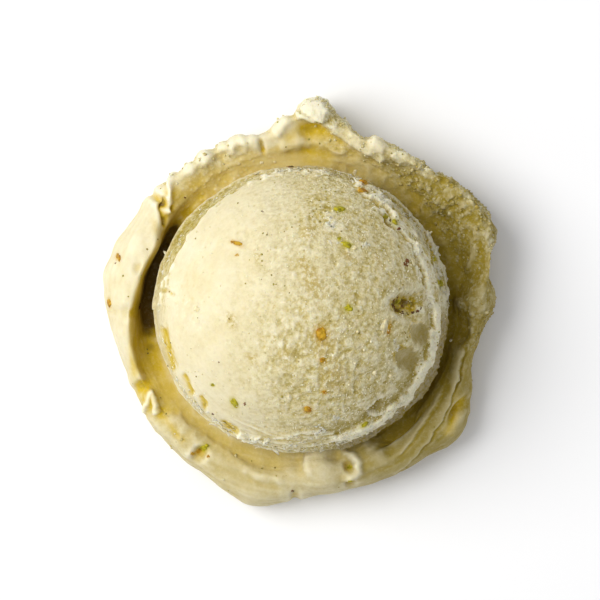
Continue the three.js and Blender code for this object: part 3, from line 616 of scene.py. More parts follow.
FIN = np.array([  # direction, radius of the upturned edge at the front right
    (-80, 26.2), (-69, 27.0), (-63.4, 26.9), (-57.6, 27.3), (-46.5, 26.8), (-40.7, 27.6), (-37, 27.1), (-32.4, 27.3),
    (-27.4, 27.1), (-22, 27.5), (-15, 27.5), (-9, 27.4), (-2, 27.2), (6, 27.2),
])
RIBBON = np.array([  # direction, width of that edge's flat top
    (-80, 1.0), (-63, 1.5), (-46, 1.3), (-25, 1.3), (-10, 1.4), (6, 1.1),
])


def as_shown(across, height):
    """A distance from the axis as it shows to the camera: over 1 minus the height above the collar's widest level
    divided by the camera's."""
    return across / (1 - (height - COLLAR_LEVEL) / (1000 * CAMERA_HEIGHT))


step = np.arange(-DOME_RINGS, DOME_RINGS + 1.0)
i, j = np.meshgrid(step, step, indexing="ij")
sideways = np.abs(i) >= np.abs(j)
ring = np.where(sideways, i, j).ravel()
turn = np.where(sideways, np.pi / 4 * j / np.where(i == 0, 1, i), np.pi / 2 - np.pi / 4 * i / np.where(j == 0, 1, j))
turn = np.arctan2(ring * np.sin(turn.ravel()), ring * np.cos(turn.ravel()))
share = np.abs(ring) / DOME_RINGS
tilt = np.radians(CAP_TILT) * share * (1.35 - 0.35 * share)  # rings lie closer together towards the rim
across = DOME_RADIUS[0] * np.cos(turn) ** 2 + DOME_RADIUS[1] * np.sin(turn) ** 2
cap_r, cap_z = across * np.sin(tilt), RIM_HEIGHT + (SCOOP_HEIGHT - RIM_HEIGHT) * np.cos(tilt)
cap = np.stack([cap_r * np.cos(turn), cap_r * np.sin(turn), cap_z], -1)
index = np.arange(len(cap)).reshape(i.shape)
cap_quads = np.stack([index[:-1, :-1], index[1:, :-1], index[1:, 1:], index[:-1, 1:]], -1).reshape(-1, 4)

edge = np.flatnonzero(share > 1 - 1e-6)
edge = edge[np.argsort(turn[edge])]
turn, across = turn[edge][:, None], across[edge][:, None]
az = np.degrees(turn)
blank = 0 * az
lip = RIM_LIP * (0.8 + 0.6 * noise(np.concatenate([az / 9, blank + 3.3, blank], 1), 1.0))[:, None]
lip = lip + 0.35 * swell(az, 18, 50) + 0.5 * swell(az, -46, 24) + 0.2 * swell(az, -72, 9) - 0.35 * swell(az, -8, 14)
wall = np.stack([
    np.concatenate([cap_r[edge][:, None], cap_z[edge][:, None]], 1),
    np.concatenate([across + lip, blank + RIM_HEIGHT + 0.6], 1),
    np.concatenate([across + 0.8 * lip, blank + RIM_HEIGHT - 0.4], 1),
    np.concatenate([across - 0.5, blank + RIM_HEIGHT - 1.6], 1),
    np.concatenate([across - 0.8, blank + RIM_HEIGHT - 5], 1),
    np.concatenate([across - 1.2, blank + 3.0], 1),
], 1)
wall = through_controls(wall, [5, 4, 4, 4, 3])[:, 1:]
wall = np.stack([wall[..., 0] * np.cos(turn), wall[..., 0] * np.sin(turn), wall[..., 1]], -1)
dome = np.concatenate([cap, wall.reshape(-1, 3), [(0, 0, 3)]])
index = len(cap) + np.arange(wall.shape[0] * wall.shape[1]).reshape(wall.shape[:2])
dome_quads = np.concatenate([cap_quads, turned_quads(np.concatenate([edge[:, None], index], 1))])
dome_end = np.stack([0 * edge + len(dome) - 1, np.roll(index, -1, 0)[:, -1], index[:, -1]], -1)

az = np.degrees(np.arctan2(dome[:, 1], dome[:, 0]))
plan = np.hypot(dome[:, 0], dome[:, 1])
across = DOME_RADIUS[0] * np.cos(np.radians(az)) ** 2 + DOME_RADIUS[1] * np.sin(np.radians(az)) ** 2
up = smoothstep(RIM_HEIGHT - 6, RIM_HEIGHT - 1, dome[:, 2])
right = smoothstep(-17, 15, dome[:, 0])
near_rim = smoothstep(RIM_HEIGHT + 10, RIM_HEIGHT + 2, dome[:, 2])
on_cap = smoothstep(RIM_HEIGHT, RIM_HEIGHT + 1.5, dome[:, 2])

# Right: flakes that lift in steps, a crease above the thin rim line, torn edges and pits.
flaky = swell(az, 32, 30) * smoothstep(22, 25.5, plan) * on_cap
app = as_shown(plan, dome[:, 2]) + 0.15 * noise(dome, 2.5)  # radius as it shows from above
steps = smoothstep(-0.08, 0.08, noise(dome, 3.4) + 0.4 * noise(dome, 1.3))
crease = -1.1 * swell(az, 30, 34) * np.exp(-(((0.978 * across - plan) / 0.38) ** 2)) * on_cap
sheet = sheets_at(dome + 0.6 * noise(dome, 2.3)[:, None], DOME_SHEETS, -1) * on_cap * (0.8 + 0.5 * noise(dome, 3.1))
sheet_gap = app - np.interp(az, *np.array(DOME_SHEETS[0][0]).T) + 0.3 * noise(dome, 1.0)
sheet_band = swell(az, 38, 24) * smoothstep(-0.1, 0.15, sheet_gap)
sheet_band = sheet_band * smoothstep(1.7, 1.3, sheet_gap + 0.5 * noise(dome, 1.9)) * on_cap
torn_pit = np.clip(-hollows_at(dome + 0.4 * noise(dome, 1.3)[:, None], DOME_PITS[:1]) / 2.4, 0, 1) * on_cap
craters, beyond = (
    smoothstep(0.3, 0.5, 0.3 * noise(p, 1.1) - hollows_at(p, DOME_PITS[2:4])) * on_cap
    for p in (dome, dome + (0.45, -0.45, 0))
)
crater_edge_shade = np.clip(beyond - craters, 0, 1)  # painted shade on its upper left edge
scrapes = ridges_at(dome, DOME_SCRAPES) * on_cap
tears = ridges_at(dome, DOME_TEARS) * on_cap * (0.75 + 0.5 * noise(dome, 1.0))
pits = hollows_at(dome + 0.5 * noise(dome, 1.6)[:, None], DOME_PITS) * on_cap
strata = swell(az, -96, 26) * smoothstep(23.0, 24.5, plan) * on_cap
strata = 0.4 * strata * crag(np.stack([plan * 1.6, dome[:, 2] * 0.3, az / 14], -1), 1.0)
large = pits + strata + 0.3 * flaky * (steps - 0.5) + crease + tears + sheet + scrapes
large = large + near_rim * (0.12 + 0.2 * swell(az, -5, 60)) * crag(dome, 3.4)
large = large + 0.16 * noise(dome, 9) + 0.1 * noise(dome, 4)
dome = dome + outward(dome, dome_quads) * (up * large)[:, None]
# Front right: a trough, then a thin ragged fin that turns up and out, above the cut wall.
ragged_line = 0.3 * noise(dome * (1, 1, 0), 1.6) + 0.12 * noise(dome * (1, 1, 0), 0.6)
inside = np.minimum(np.interp(az, FIN[:, 0], FIN[:, 1]), across - 0.6) + ragged_line - plan
fin_reach = smoothstep(-80, -72, az) * (1 - smoothstep(-3, 6, az)) * on_cap
ribbon = np.interp(az, *RIBBON.T)
fin = smoothstep(-0.16, 0.04, inside) * (1 - smoothstep(0.3 * ribbon, 1.7 * ribbon, inside))
trough = np.exp(-(((inside - 1.9 * ribbon) / 1.0) ** 2))
dome[:, 2] += fin_reach * ((1.9 + 0.6 * noise(dome, 2.2)) * fin - 0.8 * trough)
dome[:, :2] *= 1 + (fin_reach * 0.2 * fin / plan.clip(1))[:, None]
cut = smoothstep(-82, -72, az) * (1 - smoothstep(-6, 4, az)) * smoothstep(-0.05, -0.25, inside) * up
# Separate ice grains, denser to the right, rough clods in places and pinholes.
grainy = np.exp(-(((dome[:, 0] - 1) / 11) ** 2 + ((dome[:, 1] + 11) / 12) ** 2))  # the coarse, wrinkled lower middle
icy = np.clip(0.14 + 0.8 * right + 0.35 * noise(dome, 5.0) + 0.3 * grainy, 0, 1) * (1 - 0.9 * craters)
pin = np.clip(grains(dome + 31.0, 2.3) - 0.72, 0, 1) * 3.5
beads = grains(dome, 1.05) ** 3 + 0.8 * grains(dome + 7.0, 1.6) ** 4
clods = crag(dome, 2.4) * np.clip(0.3 + 1.2 * noise(dome, 7.0), 0, 1)
wrinkles = noise(dome * (1.0, 0.45, 0.45), 0.75)
fine = icy * (0.26 * beads + 0.12 * noise(dome, 1.3) + 0.14 * clods + (0.05 + 0.12 * grainy) * wrinkles - 0.06)
fine = fine - 0.3 * pin * (0.3 + 0.7 * right)
bevel = swell(az, 142, 27) * smoothstep(26.0, 26.5, plan + 0.55 * noise(dome, 1.6)) * on_cap
patch = swell(dome[:, 0], 3.6, 3.0) * swell(dome[:, 1], 18.6, 3.4)  # a rough patch full of bits
ragged = near_rim * (0.12 + 0.6 * right + 0.35 * swell(az, -118, 24)) * (1 - 0.7 * flaky) + 0.8 * patch + 0.5 * bevel
ragged = ragged * (1 - 0.75 * fin_reach * (inside > -0.3))
fine = fine + 0.2 * cut * (grains(dome, 0.9) + crag(dome, 0.8) - 0.4)
fine = fine + 0.45 * torn_pit * (grains(dome, 0.9) + grains(dome + 5.0, 1.5) - 0.6)
# painted shade: a dark line at the foot of the fin
fin_foot_shade = cut * np.exp(-(((inside + 0.32) / 0.13) ** 2))
# painted shade inside the torn pit
pit_shade = torn_pit * np.clip(0.62 + 0.75 * noise(dome + 3.0, 0.9), 0, 1) * smoothstep(23.6, 21.6, dome[:, 0])
fine = fine - 0.45 * bevel + ragged * (0.32 * crag(dome, 1.7) + 0.2 * grains(dome, 1.1) - 0.15)
dome = dome + outward(dome, dome_quads) * (up * fine)[:, None]
dome_out = outward(dome, dome_quads)
dip = hollowness(dome, dome_quads, 6) + 0.4 * hollowness(dome, dome_quads, 30)
rings = swell(az, 38, 26) * on_cap  # lines along the rim at the upper right
# painted highlight on the fin and the far right of the dome, mixed with the pale of torn edges and sheets
pale_and_highlight = 1.5 * fin_reach * fin + np.clip(tears, 0, 1) + 0.6 * sheet_band * (noise(dome + 9.0, 1.8) > 0.0)
pale_and_highlight = pale_and_highlight + rings * (np.exp(-(((app - 27.75) / 0.2) ** 2)) + 1.2 * np.exp(-(((app - 28.75) / 0.3) ** 2)))
pale_and_highlight = pale_and_highlight + 0.8 * swell(az, 8, 22) * smoothstep(23.0, 24.5, app) * (noise(dome, 1.5) > -0.1) * on_cap
# painted shade in the crack between the rim lines
crack = rings * np.exp(-(((app - 28.25) / 0.13) ** 2)) * (0.6 + noise(dome, 3.0))
# painted shade: concave places turn gold
dents = 1.3 * np.clip(dip, 0, 1)
round_pits = swell(dome[:, 0], 20.5, 4.5) * swell(dome[:, 1], -4.5, 10.0)
lip_side = swell(az, 160, 62) * smoothstep(26.9, 27.4, plan)  # the pressed left side has a plain lip
dome_marks = {
    # partly painted shade: the right half, away from the window, is tinted coarse
    "torn": np.clip(
        0.56 * right + 0.3 * near_rim * (1 - lip_side) + 0.3 * flaky + 0.4 * patch + 0.3 * grainy
        + 0.1 * fin_reach * trough + 0.3 * cut + bevel, 0, 1,
    ) * (1 - 0.7 * craters),
    # painted shade: concave places, scrapes, the crack, the pit, the crater's upper left edge, the wall under the rim
    # and the fin's foot
    "gold_and_shade": np.clip(
        dents * (1 - 0.7 * lip_side) * (1 - 0.8 * fin_reach * trough) - 1.8 * scrapes + crack + pit_shade
        + 0.9 * crater_edge_shade + 1.3 * (1 - smoothstep(RIM_HEIGHT - 4, RIM_HEIGHT, dome[:, 2])), 0, 1,
    ) * (1 - cut) * (1 - 0.7 * craters) + 0.6 * fin_foot_shade,
    # painted highlight: convex places are lightened
    "pale": np.clip(
        -4.0 * dip * (1 - 0.8 * lip_side) * (1 - 0.7 * round_pits) + pale_and_highlight, 0, 1,
    ) * (1 - cut) * (1 - craters),
    # painted shade on the right near the rim, the bevel, the fin's trough, the craters and the band inside the rim
    # lines; partly the olive of nuts in the torn pit
    "olive": np.clip(
        0.3 * right * near_rim + 0.35 * bevel + 0.9 * torn_pit + 0.75 * fin_reach * trough
        + craters * (0.75 + 0.5 * noise(dome, 1.4)) + 1.1 * rings * np.exp(-(((app - 27.2) / 0.4) ** 2)), 0, 1,
    ),
    "cut": np.clip(cut + 0.25 * craters, 0, 1),
}
dome_piece = gelato_piece("dome", dome, dome_quads.tolist() + dome_end.tolist(), dome_marks)
dome_piece.data.materials.append(gelato)
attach(dome_piece, "root")
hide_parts("gelato_scoop")

# ---------------------------------------------------------------------------------------------------------------------
# Rim flakes: thin curled tongues of gelato that the bowl's edge tore up along the dome's rim, with a few on the dome
# itself. Each is rooted in the surface and lifts outwards.

FLAKE_COUNT = 300
FLAKE_REACH = 27.8  # the furthest from the axis that a flake is rooted
TORN_PLACES = [  # place, half sizes, turned, how many flakes: where the rim tore into ragged white pieces
    ((-9.8, -25.9), (1.4, 1.0), 20, 16), ((-7.0, -25.9), (0.5, 1.1), 10, 7), ((-1.0, -26.4), (2.1, 0.3), 10, 10),
    ((2.9, -24.8), (2.0, 0.4), 25, 10), ((3.5, -23.3), (0.9, 0.5), -45, 7), ((7.1, -21.3), (1.1, 0.6), 10, 10),
    ((7.6, -26.6), (1.2, 1.0), 30, 14), ((-20.6, -19.6), (0.8, 0.5), -40, 6), ((-20.2, -18.8), (0.9, 0.5), -45, 8),
    ((-16.2, -22.4), (1.2, 0.7), -35, 14), ((-13.2, -24.3), (1.0, 0.5), -28, 8), ((-23.7, 13.3), (1.0, 0.5), 45, 7),
    ((-26.0, 10.8), (0.7, 0.4), 60, 5), ((-3.5, 27.0), (2.6, 0.4), 0, 12), ((4.0, 27.0), (2.4, 0.4), -8, 10),
    ((10.2, 27.1), (0.35, 0.8), -15, 6), ((21.6, 15.0), (1.2, 0.4), -65, 8), ((23.0, 12.1), (1.5, 0.5), -75, 12),
    ((15.9, 21.4), (1.5, 0.8), -45, 14), ((26.6, 6.9), (1.2, 0.4), -75, 8), ((25.4, 1.0), (2.4, 0.8), -88, 18),
    ((18.6, -7.1), (1.4, 0.3), 95, 7), ((26.2, -6.0), (2.6, 0.6), -95, 14), ((23.9, -13.6), (2.4, 0.6), 62, 12),
    ((18.3, -20.0), (2.6, 0.6), 45, 12), ((12.5, -24.3), (2.2, 0.6), 30, 12), ((6.2, 13.0), (0.9, 0.3), 20, 4),
    ((5.6, 17.0), (0.8, 0.9), 0, 8), ((-28.6, -0.2), (0.3, 1.0), 0, 5), ((12.9, 11.6), (0.4, 0.9), 10, 5),
]
dice = np.random.default_rng(11)
surface = np.concatenate([dome, collar])
surface_out = np.concatenate([dome_out, collar_out])
apparent = as_shown(surface[:, :2], surface[:, 2:])


def shown_at(places):
    """The topmost vertex at each place as it shows from above."""
    x, y = np.asarray(places, float).T[..., None]
    gap = (apparent[:, 0] - x) ** 2 + (apparent[:, 1] - y) ** 2 - 0.01 * surface[:, 2] + 9 * (surface_out[:, 2] < 0.05)
    return gap.argmin(1)


def rooted_flakes(name, roots, outs, lengths, widths, lift, material):
    """Curved tongues: across u and along v, the middle line rises as v to the power 1.6, the width narrows to the tip,
    and the lower face lies a skin's thickness under the upper one."""
    count = len(roots)
    around = np.stack([-roots[:, 1], roots[:, 0], np.zeros(count)], -1)
    around /= np.linalg.norm(around, axis=1, keepdims=True)
    lead = np.cross(outs, around)
    spin = dice.uniform(0, 2 * np.pi, count)[:, None]
    along = np.cos(spin) * around + np.sin(spin) * lead
    side = np.cross(outs, along)
    u = np.linspace(-1, 1, 3)[None, :, None, None]
    v = np.linspace(0, 1, 4)[None, None, :, None]
    length, width = lengths[:, None, None, None], widths[:, None, None, None]
    bend = lift[:, None, None, None]
    wave = dice.uniform(-1, 1, (count, 3, 4, 1))
    taper = (1 - v) ** 0.5 * 0.85 + 0.15
    r, a, s, o = roots[:, None, None], along[:, None, None], side[:, None, None], outs[:, None, None]
    top = r + a * (length * v) + s * (width * u * taper + 0.12 * wave) + o * (length * bend * v**1.6 + 0.10 * wave)
    thick = 0.22 * (1 - 0.6 * v)
    low = top - o * thick - a * (0.2 * (1 - v))
    points = np.concatenate([top.reshape(count, 12, 3), low.reshape(count, 12, 3)], 1)
    g = np.arange(12).reshape(3, 4)
    upper = np.stack([g[:-1, :-1], g[:-1, 1:], g[1:, 1:], g[1:, :-1]], -1).reshape(-1, 4)
    lower = upper[:, ::-1] + 12
    loop = np.concatenate([g[0, :], g[1:, -1], g[-1, -2::-1], g[-2:0:-1, 0]])
    nxt = np.roll(loop, -1)
    edge = np.stack([nxt, loop, loop + 12, nxt + 12], -1)
    faces = np.concatenate([upper, lower, edge])[None] + 24 * np.arange(count)[:, None, None]
    marks = {"torn": 0.3, "gold_and_shade": 0.0, "pale": 0.85, "olive": 0.0}
    marks = {mark: np.full(24 * count, value) for mark, value in marks.items()}
    piece = gelato_piece(name, points.reshape(-1, 3) - (*DOME_CENTRE, 0), faces.reshape(-1, 4).tolist(), marks)
    piece.data.materials.append(material)
    return piece


def scattered(places, halves, turned):
    """Places spread evenly over the ellipse round each one: the radius is the root of a random share."""
    a, r = dice.uniform(0, 2 * np.pi, len(places)), dice.random(len(places)) ** 0.5
    u, v = r * np.cos(a) * halves[:, 0], r * np.sin(a) * halves[:, 1]
    c, s = np.cos(np.radians(turned)), np.sin(np.radians(turned))
    return places + np.stack([u * c - v * s, u * s + v * c], -1)


rim_band = (dome[:, 2] > RIM_HEIGHT + 0.3) & (dome[:, 2] < RIM_HEIGHT + 8.5) & (cut < 0.2)
likely = 0.25 + swell(az, 25, 45) + 0.8 * swell(az, -40, 45) + 0.5 * swell(az, -95, 30) + 0.9 * swell(az, -128, 22)
likely = rim_band * likely * (1 - 0.8 * swell(az, 168, 40))
picked = dice.choice(len(dome), FLAKE_COUNT, replace=False, p=likely / likely.sum())
places, halves, turned, counts = (np.array(v, float) for v in zip(*TORN_PLACES))
counts = counts.astype(int)
spots = scattered(np.repeat(places, counts, 0), np.repeat(halves, counts, 0), np.repeat(turned, counts))
torn_at = shown_at(spots * np.minimum(1, FLAKE_REACH / np.linalg.norm(spots, axis=1, keepdims=True)))
picked = np.concatenate([picked, torn_at])
lengths = np.concatenate([dice.uniform(0.4, 1.4, FLAKE_COUNT), dice.uniform(0.5, 1.1, len(torn_at))])
widths = np.concatenate([dice.uniform(0.25, 0.6, FLAKE_COUNT), dice.uniform(0.3, 0.6, len(torn_at))])
roots = surface[picked] - 0.08 * surface_out[picked] + (*DOME_CENTRE, 0)
flakes = rooted_flakes(
    "rim_flakes", roots, surface_out[picked], lengths, widths, dice.uniform(0.1, 0.4, len(picked)), gelato,
)
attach(flakes, "root")
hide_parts("gelato_scoop")

# ---------------------------------------------------------------------------------------------------------------------
# Stains: colour in the gelato itself. White lumps stand along the torn sheet, and nut oil and fine skins have left
# brown and olive smudges on the middle of the dome. They add no mesh of their own.

TORN_LUMPS = [  # place, half sizes, turned
    ((16.1, 22.0), (1.9, 1.1), -45), ((13.2, 23.3), (1.3, 0.8), -30), ((18.3, 18.8), (1.2, 0.7), -50),
    ((20.2, 16.2), (1.4, 0.7), -60), ((22.2, 12.2), (1.7, 1.1), -70), ((23.6, 9.4), (1.2, 0.6), -80),
    ((24.8, 2.4), (1.8, 0.8), -85), ((6.0, 16.4), (1.4, 0.8), 20), ((-16.6, -22.4), (1.3, 0.6), -38),
    ((-9.6, -25.2), (1.3, 0.8), 10), ((7.4, -25.8), (1.2, 0.8), 20),
]
SMUDGES = [  # place, half sizes, turned
    ((0.8, 8.8), (1.0, 2.4), 25), ((2.9, 4.6), (1.6, 2.6), 30), ((-13.7, -2.2), (0.9, 1.5), 25),
    ((-5.4, -5.9), (0.6, 0.8), 0), ((-3.1, -9.2), (1.0, 1.2), 0), ((1.4, 15.2), (1.1, 1.6), 0),
    ((-8.4, 10.2), (0.6, 1.6), 10), ((4.2, -6.6), (2.6, 2.8), 0), ((15.0, 9.6), (1.0, 1.4), 0),
    ((9.2, 10.6), (0.9, 1.0), 0), ((-9.6, -9.6), (0.8, 0.8), 0), ((6.0, -13.0), (2.4, 3.0), 0),
]


def stain(mark, bits):
    """Marks the gelato round each bit: e to minus the cube of the plan distance over 1.2 times its half sizes, times a
    Gaussian of the height above or below it, so that no stain runs down a steep wall."""
    amount = 0
    for (x, y), halves, turned in bits:
        level = (surface[:, 2] - surface[shown_at([(x, y)])[0], 2]) / max(1.2, 1.1 * max(halves))
        c, s = math.cos(math.radians(turned)), math.sin(math.radians(turned))
        own = (apparent - (x, y)) @ np.array([(c, -s), (s, c)]) / (1.2 * np.array(halves))
        amount = amount + np.exp(-(np.linalg.norm(own, axis=1) ** 3) - level**2)
    for piece, values in ((dome_piece, amount[: len(dome)]), (collar_piece, amount[len(dome) :])):
        spread = piece.data.attributes.new(mark, "FLOAT", "POINT")
        spread.data.foreach_set("value", np.clip(values, 0, 1).astype(np.float32))


stain("white", TORN_LUMPS)
stain("smudge", SMUDGES)

# ---------------------------------------------------------------------------------------------------------------------
# Crumbs: small frozen lumps that broke away where the collar tore, still stuck to it, thickest on the shoulder at the
# back right, along the ragged crests and round the knob.

CRUMB_COUNT = 620
crumb_chance = np.clip(rough, 0, 1) ** 1.5 * (collar_out[:, 2] > -0.2) * (collar[:, 2] > 3.0) * (1 - 0.9 * sheltered)
pick = dice.choice(len(collar), CRUMB_COUNT, replace=False, p=crumb_chance / crumb_chance.sum())
golden = (1 + 5**0.5) / 2
lump_corners = np.array([
    (-1, golden, 0), (1, golden, 0), (-1, -golden, 0), (1, -golden, 0), (0, -1, golden), (0, 1, golden),
    (0, -1, -golden), (0, 1, -golden), (golden, 0, -1), (golden, 0, 1), (-golden, 0, -1), (-golden, 0, 1),
]) / math.sqrt(1 + golden**2)
lump_faces = np.array([
    (0, 11, 5), (0, 5, 1), (0, 1, 7), (0, 7, 10), (0, 10, 11), (1, 5, 9), (5, 11, 4), (11, 10, 2), (10, 7, 6),
    (7, 1, 8), (3, 9, 4), (3, 4, 2), (3, 2, 6), (3, 6, 8), (3, 8, 9), (4, 9, 5), (2, 4, 11), (6, 2, 10),
    (8, 6, 7), (9, 8, 1),
])


def stuck_bits(name, roots, outs, turned, halves, raggedness, material, marks):
    """Copies of one twenty-sided lump, each squashed to its half sizes (along, across, deep), turned by its own angle
    in plan, laid on the surface and made irregular by moving its corners in or out."""
    count = len(roots)
    along = np.stack([np.cos(turned), np.sin(turned), 0 * turned], -1)
    across = np.cross(outs, along)
    across /= np.linalg.norm(across, axis=1, keepdims=True)
    along = np.cross(across, outs)
    corners = len(lump_corners)
    own = lump_corners[None] * (1 + raggedness * dice.uniform(-1, 1, (count, corners, 1))) * halves[:, None]
    points = roots[:, None] + own[..., :1] * along[:, None] + own[..., 1:2] * across[:, None]
    points = points + own[..., 2:] * outs[:, None]
    every = lump_faces[None] + corners * np.arange(count)[:, None, None]
    marks = {mark: np.repeat(values, corners) for mark, values in marks.items()}
    piece = gelato_piece(name, points.reshape(-1, 3), every.reshape(-1, 3).tolist(), marks)
    piece.data.materials.append(material)
    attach(piece, "root")
    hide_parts("gelato_scoop")


sizes = dice.uniform(0.14, 0.42, (CRUMB_COUNT, 1)) * dice.uniform(0.7, 1.2, (CRUMB_COUNT, 3))
stuck_bits(
    "crumbs", collar[pick] - 0.1 * sizes.mean(1, keepdims=True) * collar_out[pick],
    collar_out[pick], dice.uniform(0, np.pi, CRUMB_COUNT), sizes, 0.35, gelato,
    # crumbs take the painted olive shade of the collar under them
    {"torn": np.full(CRUMB_COUNT, 0.4), "gold_and_shade": dice.uniform(0, 0.15, CRUMB_COUNT),
     "pale": 0.35 * dice.uniform(0, 1, CRUMB_COUNT) ** 2, "olive": 0.9 * collar_marks["olive"][pick]},
)

# ---------------------------------------------------------------------------------------------------------------------
# Pistachio pieces: chopped green kernels frozen into the surface, nearly flush with it. Places are where each shows
# from above, in millimetres from the dome's centre.

PISTACHIOS = [  # place, half sizes, turned
    ((7.6, 19.6), (1.05, 0.75), 10), ((9.0, 12.7), (1.1, 0.75), -15), ((9.3, 0.2), (0.8, 0.7), 0),
    ((-13.1, -18.4), (1.3, 0.75), 105), ((27.4, 5.1), (1.0, 0.75), -30), ((12.5, -22.7), (1.0, 0.5), 30),
    ((26.2, 9.8), (0.5, 0.5), 0), ((-17.3, -14.9), (0.4, 0.3), 0), ((7.5, 13.8), (0.45, 0.35), 60),
    ((-19.0, -27.3), (1.0, 0.7), 30), ((19.0, 1.4), (0.6, 0.4), 40),
    ((9.6, -31.0), (0.6, 0.5), 0), ((9.7, -33.9), (0.5, 0.4), 0), ((18.4, 17.2), (0.9, 0.5), -50),
    ((16.6, 18.2), (0.6, 0.4), 20),
]
FRAGMENTS = 9  # in each piece


def nut_material(name, light, dark, scale):
    """Nut flesh: two colours in patches, slightly waxy."""
    material = bpy.data.materials.new(name)
    material.use_nodes = True
    tree = material.node_tree
    shader = tree.nodes["Principled BSDF"]
    place = tree.nodes.new("ShaderNodeTexCoord")
    cloud = tree.nodes.new("ShaderNodeTexNoise")
    cloud.inputs["Scale"].default_value = scale
    cloud.inputs["Detail"].default_value = 3
    ramp = tree.nodes.new("ShaderNodeValToRGB")
    ramp.color_ramp.elements[0].position, ramp.color_ramp.elements[0].color = 0.38, (*dark, 1)
    ramp.color_ramp.elements[1].position, ramp.color_ramp.elements[1].color = 0.58, (*light, 1)
    tree.links.new(place.outputs["Object"], cloud.inputs["Vector"])
    tree.links.new(cloud.outputs["Fac"], ramp.inputs["Fac"])
    tree.links.new(ramp.outputs["Color"], shader.inputs["Base Color"])
    shader.inputs["Roughness"].default_value = 0.5
    shader.inputs["Specular IOR Level"].default_value = 0.2
    shader.inputs["Subsurface Weight"].default_value = 0.15
    shader.inputs["Subsurface Radius"].default_value = (1.0, 0.6, 0.2)
    shader.inputs["Subsurface Scale"].default_value = 0.0006
    return material


def set_in(name, bits, material):
    """Broken chips of nut at (place, half sizes, turned): fragments crowded together and sunk in the surface."""
    places, halves, turned = (np.repeat(np.array(v, float), FRAGMENTS, 0) for v in zip(*bits))
    at = shown_at(scattered(places, 0.5 * halves, turned))
    own = dice.uniform(0.5, 0.75, (len(places), 1)) * np.concatenate([halves, 0.5 * halves[:, 1:]], 1)
    roots = surface[at] - 0.2 * own[:, 2:] * surface_out[at]
    stuck_bits(name, roots, surface_out[at], np.radians(turned), own, 0.3, material, {})


stain("green", PISTACHIOS)
set_in("pistachio_pieces", PISTACHIOS, nut_material("pistachio", (0.52, 0.44, 0.015), (0.32, 0.27, 0.01), 900))

# ---------------------------------------------------------------------------------------------------------------------
# Roasted pieces: orange and red-brown chips of toasted nut skin, one large one near the middle of the dome.

ROASTED = [  # place, half sizes, turned
    ((3.9, -4.9), (1.5, 1.15), 100), ((4.3, -10.0), (0.75, 0.5), 160), ((4.6, -16.2), (0.5, 0.45), 0),
    ((1.4, -19.6), (0.9, 0.8), 60), ((-12.4, 12.8), (1.3, 0.4), -27), ((12.3, 25.0), (1.0, 0.8), -30),
    ((12.2, 23.3), (1.1, 0.55), 0), ((-35.9, 10.2), (1.1, 0.5), -50), ((-37.6, 1.2), (0.95, 0.6), 90),
    ((-20.0, -27.8), (0.8, 0.5), 20), ((-21.2, -28.4), (0.4, 0.3), 0), ((-18.2, -28.9), (0.3, 0.3), 0),
    ((17.3, -3.9), (1.3, 0.35), 80), ((-12.6, 10.6), (0.3, 0.25), 0), ((-13.5, 13.2), (0.3, 0.25), 0),
]
stain("roasted", ROASTED)
set_in("roasted_pieces", ROASTED, nut_material("roasted_nut", (0.62, 0.36, 0.02), (0.40, 0.17, 0.01), 700))

# ---------------------------------------------------------------------------------------------------------------------
# Pale pieces: cream chips of blanched nut, the largest on the right of the dome and a few on the left and the collar.

PALE_BITS = [  # place, half sizes, turned
    ((16.3, -3.4), (1.5, 0.9), 80),
    ((22.0, 9.4), (1.2, 0.45), 105), ((10.5, 26.6), (0.9, 0.45), 70), ((-20.4, 0.0), (0.7, 0.55), 20),
    ((10.6, 12.0), (0.7, 0.5), 0), ((-7.7, 28.7), (0.45, 0.35), 0), ((-5.1, 28.7), (0.35, 0.3), 0),
]
set_in("pale_pieces", PALE_BITS, nut_material("blanched_nut", (0.86, 0.77, 0.48), (0.76, 0.62, 0.30), 600))

# ---------------------------------------------------------------------------------------------------------------------
# Ice beads: thousands of tiny clear grains of frost that stand out of the coarse gelato on the middle and right of the
# dome, each a small bright dot.

BEAD_COUNT = 2600
bead_chance = (0.1 + right) * on_cap * (dome_out[:, 2] > 0.2) * (1 - cut) * (0.3 + grains(dome, 3.0))
bead_chance = bead_chance * (1 - torn_pit) * (1 - craters)
pick = dice.choice(len(dome), BEAD_COUNT, replace=False, p=bead_chance / bead_chance.sum())
sizes = dice.uniform(0.07, 0.19, (BEAD_COUNT, 1)) * dice.uniform(0.8, 1.2, (BEAD_COUNT, 3))
BIG_BEADS = np.array([  # place, half size
    (14.5, -12.4, 0.55), (17.5, -12.9, 0.52), (11.0, -4.4, 0.35), (6.2, -9.0, 0.35), (29.4, -6.3, 0.4),
    (22.9, 3.0, 0.4), (12.2, -8.0, 0.3), (9.4, -14.9, 0.3), (13.9, -6.4, 0.28), (10.8, -10.6, 0.3),
])
pick = np.concatenate([pick, shown_at(BIG_BEADS[:, :2])])
sizes = np.concatenate([sizes, np.repeat(BIG_BEADS[:, 2:], 3, 1)])
stuck_bits(
    "ice_beads", surface[pick], surface_out[pick], dice.uniform(0, np.pi, len(pick)), sizes, 0.1,
    nut_material("frost", (0.86, 0.80, 0.57), (0.68, 0.58, 0.30), 300), {},
)

# ---------------------------------------------------------------------------------------------------------------------
# Dark skins: thin dark red and brown bits of nut skin. The largest are on the right of the dome and in the wall of the
# groove, small ones are dotted about, and a ring of them lines the torn pit.

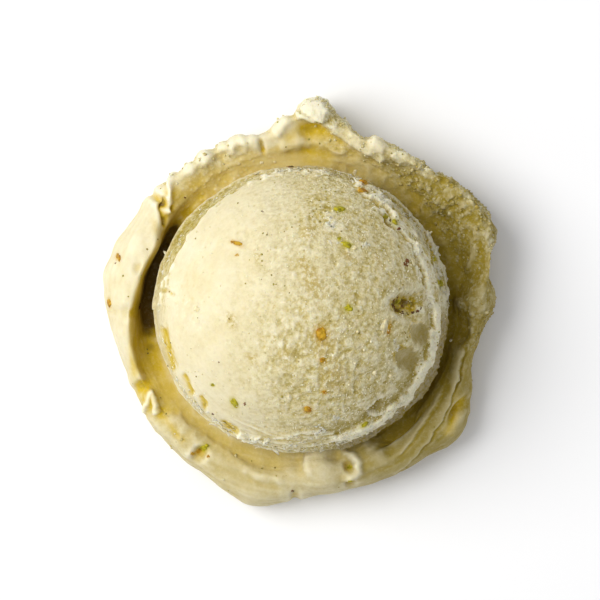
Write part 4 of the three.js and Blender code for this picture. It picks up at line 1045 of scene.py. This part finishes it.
DARK_SKINS = [  # place, half sizes, turned
    ((20.7, 9.2), (0.9, 0.55), 60), ((-31.6, 0.5), (0.7, 0.45), 90), ((-2.0, 27.9), (0.9, 0.3), 0),
    ((-11.0, -18.6), (0.25, 0.25), 0), ((-17.3, -20.6), (0.3, 0.25), 0), ((-7.6, 19.2), (0.25, 0.2), 0),
    ((-22.7, 21.8), (0.3, 0.25), 0), ((-16.1, -10.4), (0.25, 0.25), 0), ((19.8, 0.6), (0.4, 0.3), 0),
    ((-1.6, -35.7), (0.3, 0.25), 0), ((-36.4, 9.0), (0.3, 0.2), 60), ((19.2, 15.8), (0.4, 0.3), 30),
    ((17.5, 17.3), (0.4, 0.3), 60),
]
DARK_SKINS += [  # the dark rim of the torn pit
    ((20.9 + 2.9 * math.cos(a), 1.0 + 1.8 * math.sin(a)), (0.45, 0.25), math.degrees(a) + 90)
    for a in np.radians([135, 158, 180, 200, 222, 246, 268, 290, 312, 334])
]
set_in("dark_skins", DARK_SKINS, nut_material("nut_skin", (0.20, 0.07, 0.015), (0.07, 0.04, 0.008), 900))

# ---------------------------------------------------------------------------------------------------------------------
# Nut dust: about two hundred olive and green specks of finely chopped nut, scattered through the gelato and gathered
# in the rough patch at the back of the dome and in the torn pit on its right.

DUST_COUNT = 190
dust_chance = (surface_out[:, 2] > 0.1) * (surface[:, 2] > 5)
dust_chance = dust_chance * np.concatenate([
    (0.25 + 0.75 * right + 14 * patch) * on_cap, 0.25 * (radius > 31) * (1 + np.clip(rough, 0, 1)),
])
pick = dice.choice(len(surface), DUST_COUNT, replace=False, p=dust_chance / dust_chance.sum())
gathered_at = shown_at([
    (-5.9, 6.7), (-3.3, 4.5), (-5.1, 4.9), (-10.8, 4.9), (-14.0, -2.0), (-13.5, -3.1), (-25.7, 3.3), (-20.2, -1.7),
    (-7.7, 10.8), (-7.7, 9.6), (-7.7, 8.4), (19.0, 2.5), (20.6, 0.7), (18.2, 1.0), (21.6, 2.0), (22.3, 1.2),
    (17.6, 16.4),
])
pick = np.concatenate([pick, gathered_at])
sizes = dice.uniform(0.09, 0.24, (len(pick), 1)) * dice.uniform(0.7, 1.3, (len(pick), 3))
stuck_bits(
    "nut_dust", surface[pick], surface_out[pick], dice.uniform(0, np.pi, len(pick)), sizes, 0.2,
    nut_material("nut_dust", (0.40, 0.34, 0.07), (0.24, 0.18, 0.03), 300), {},
)
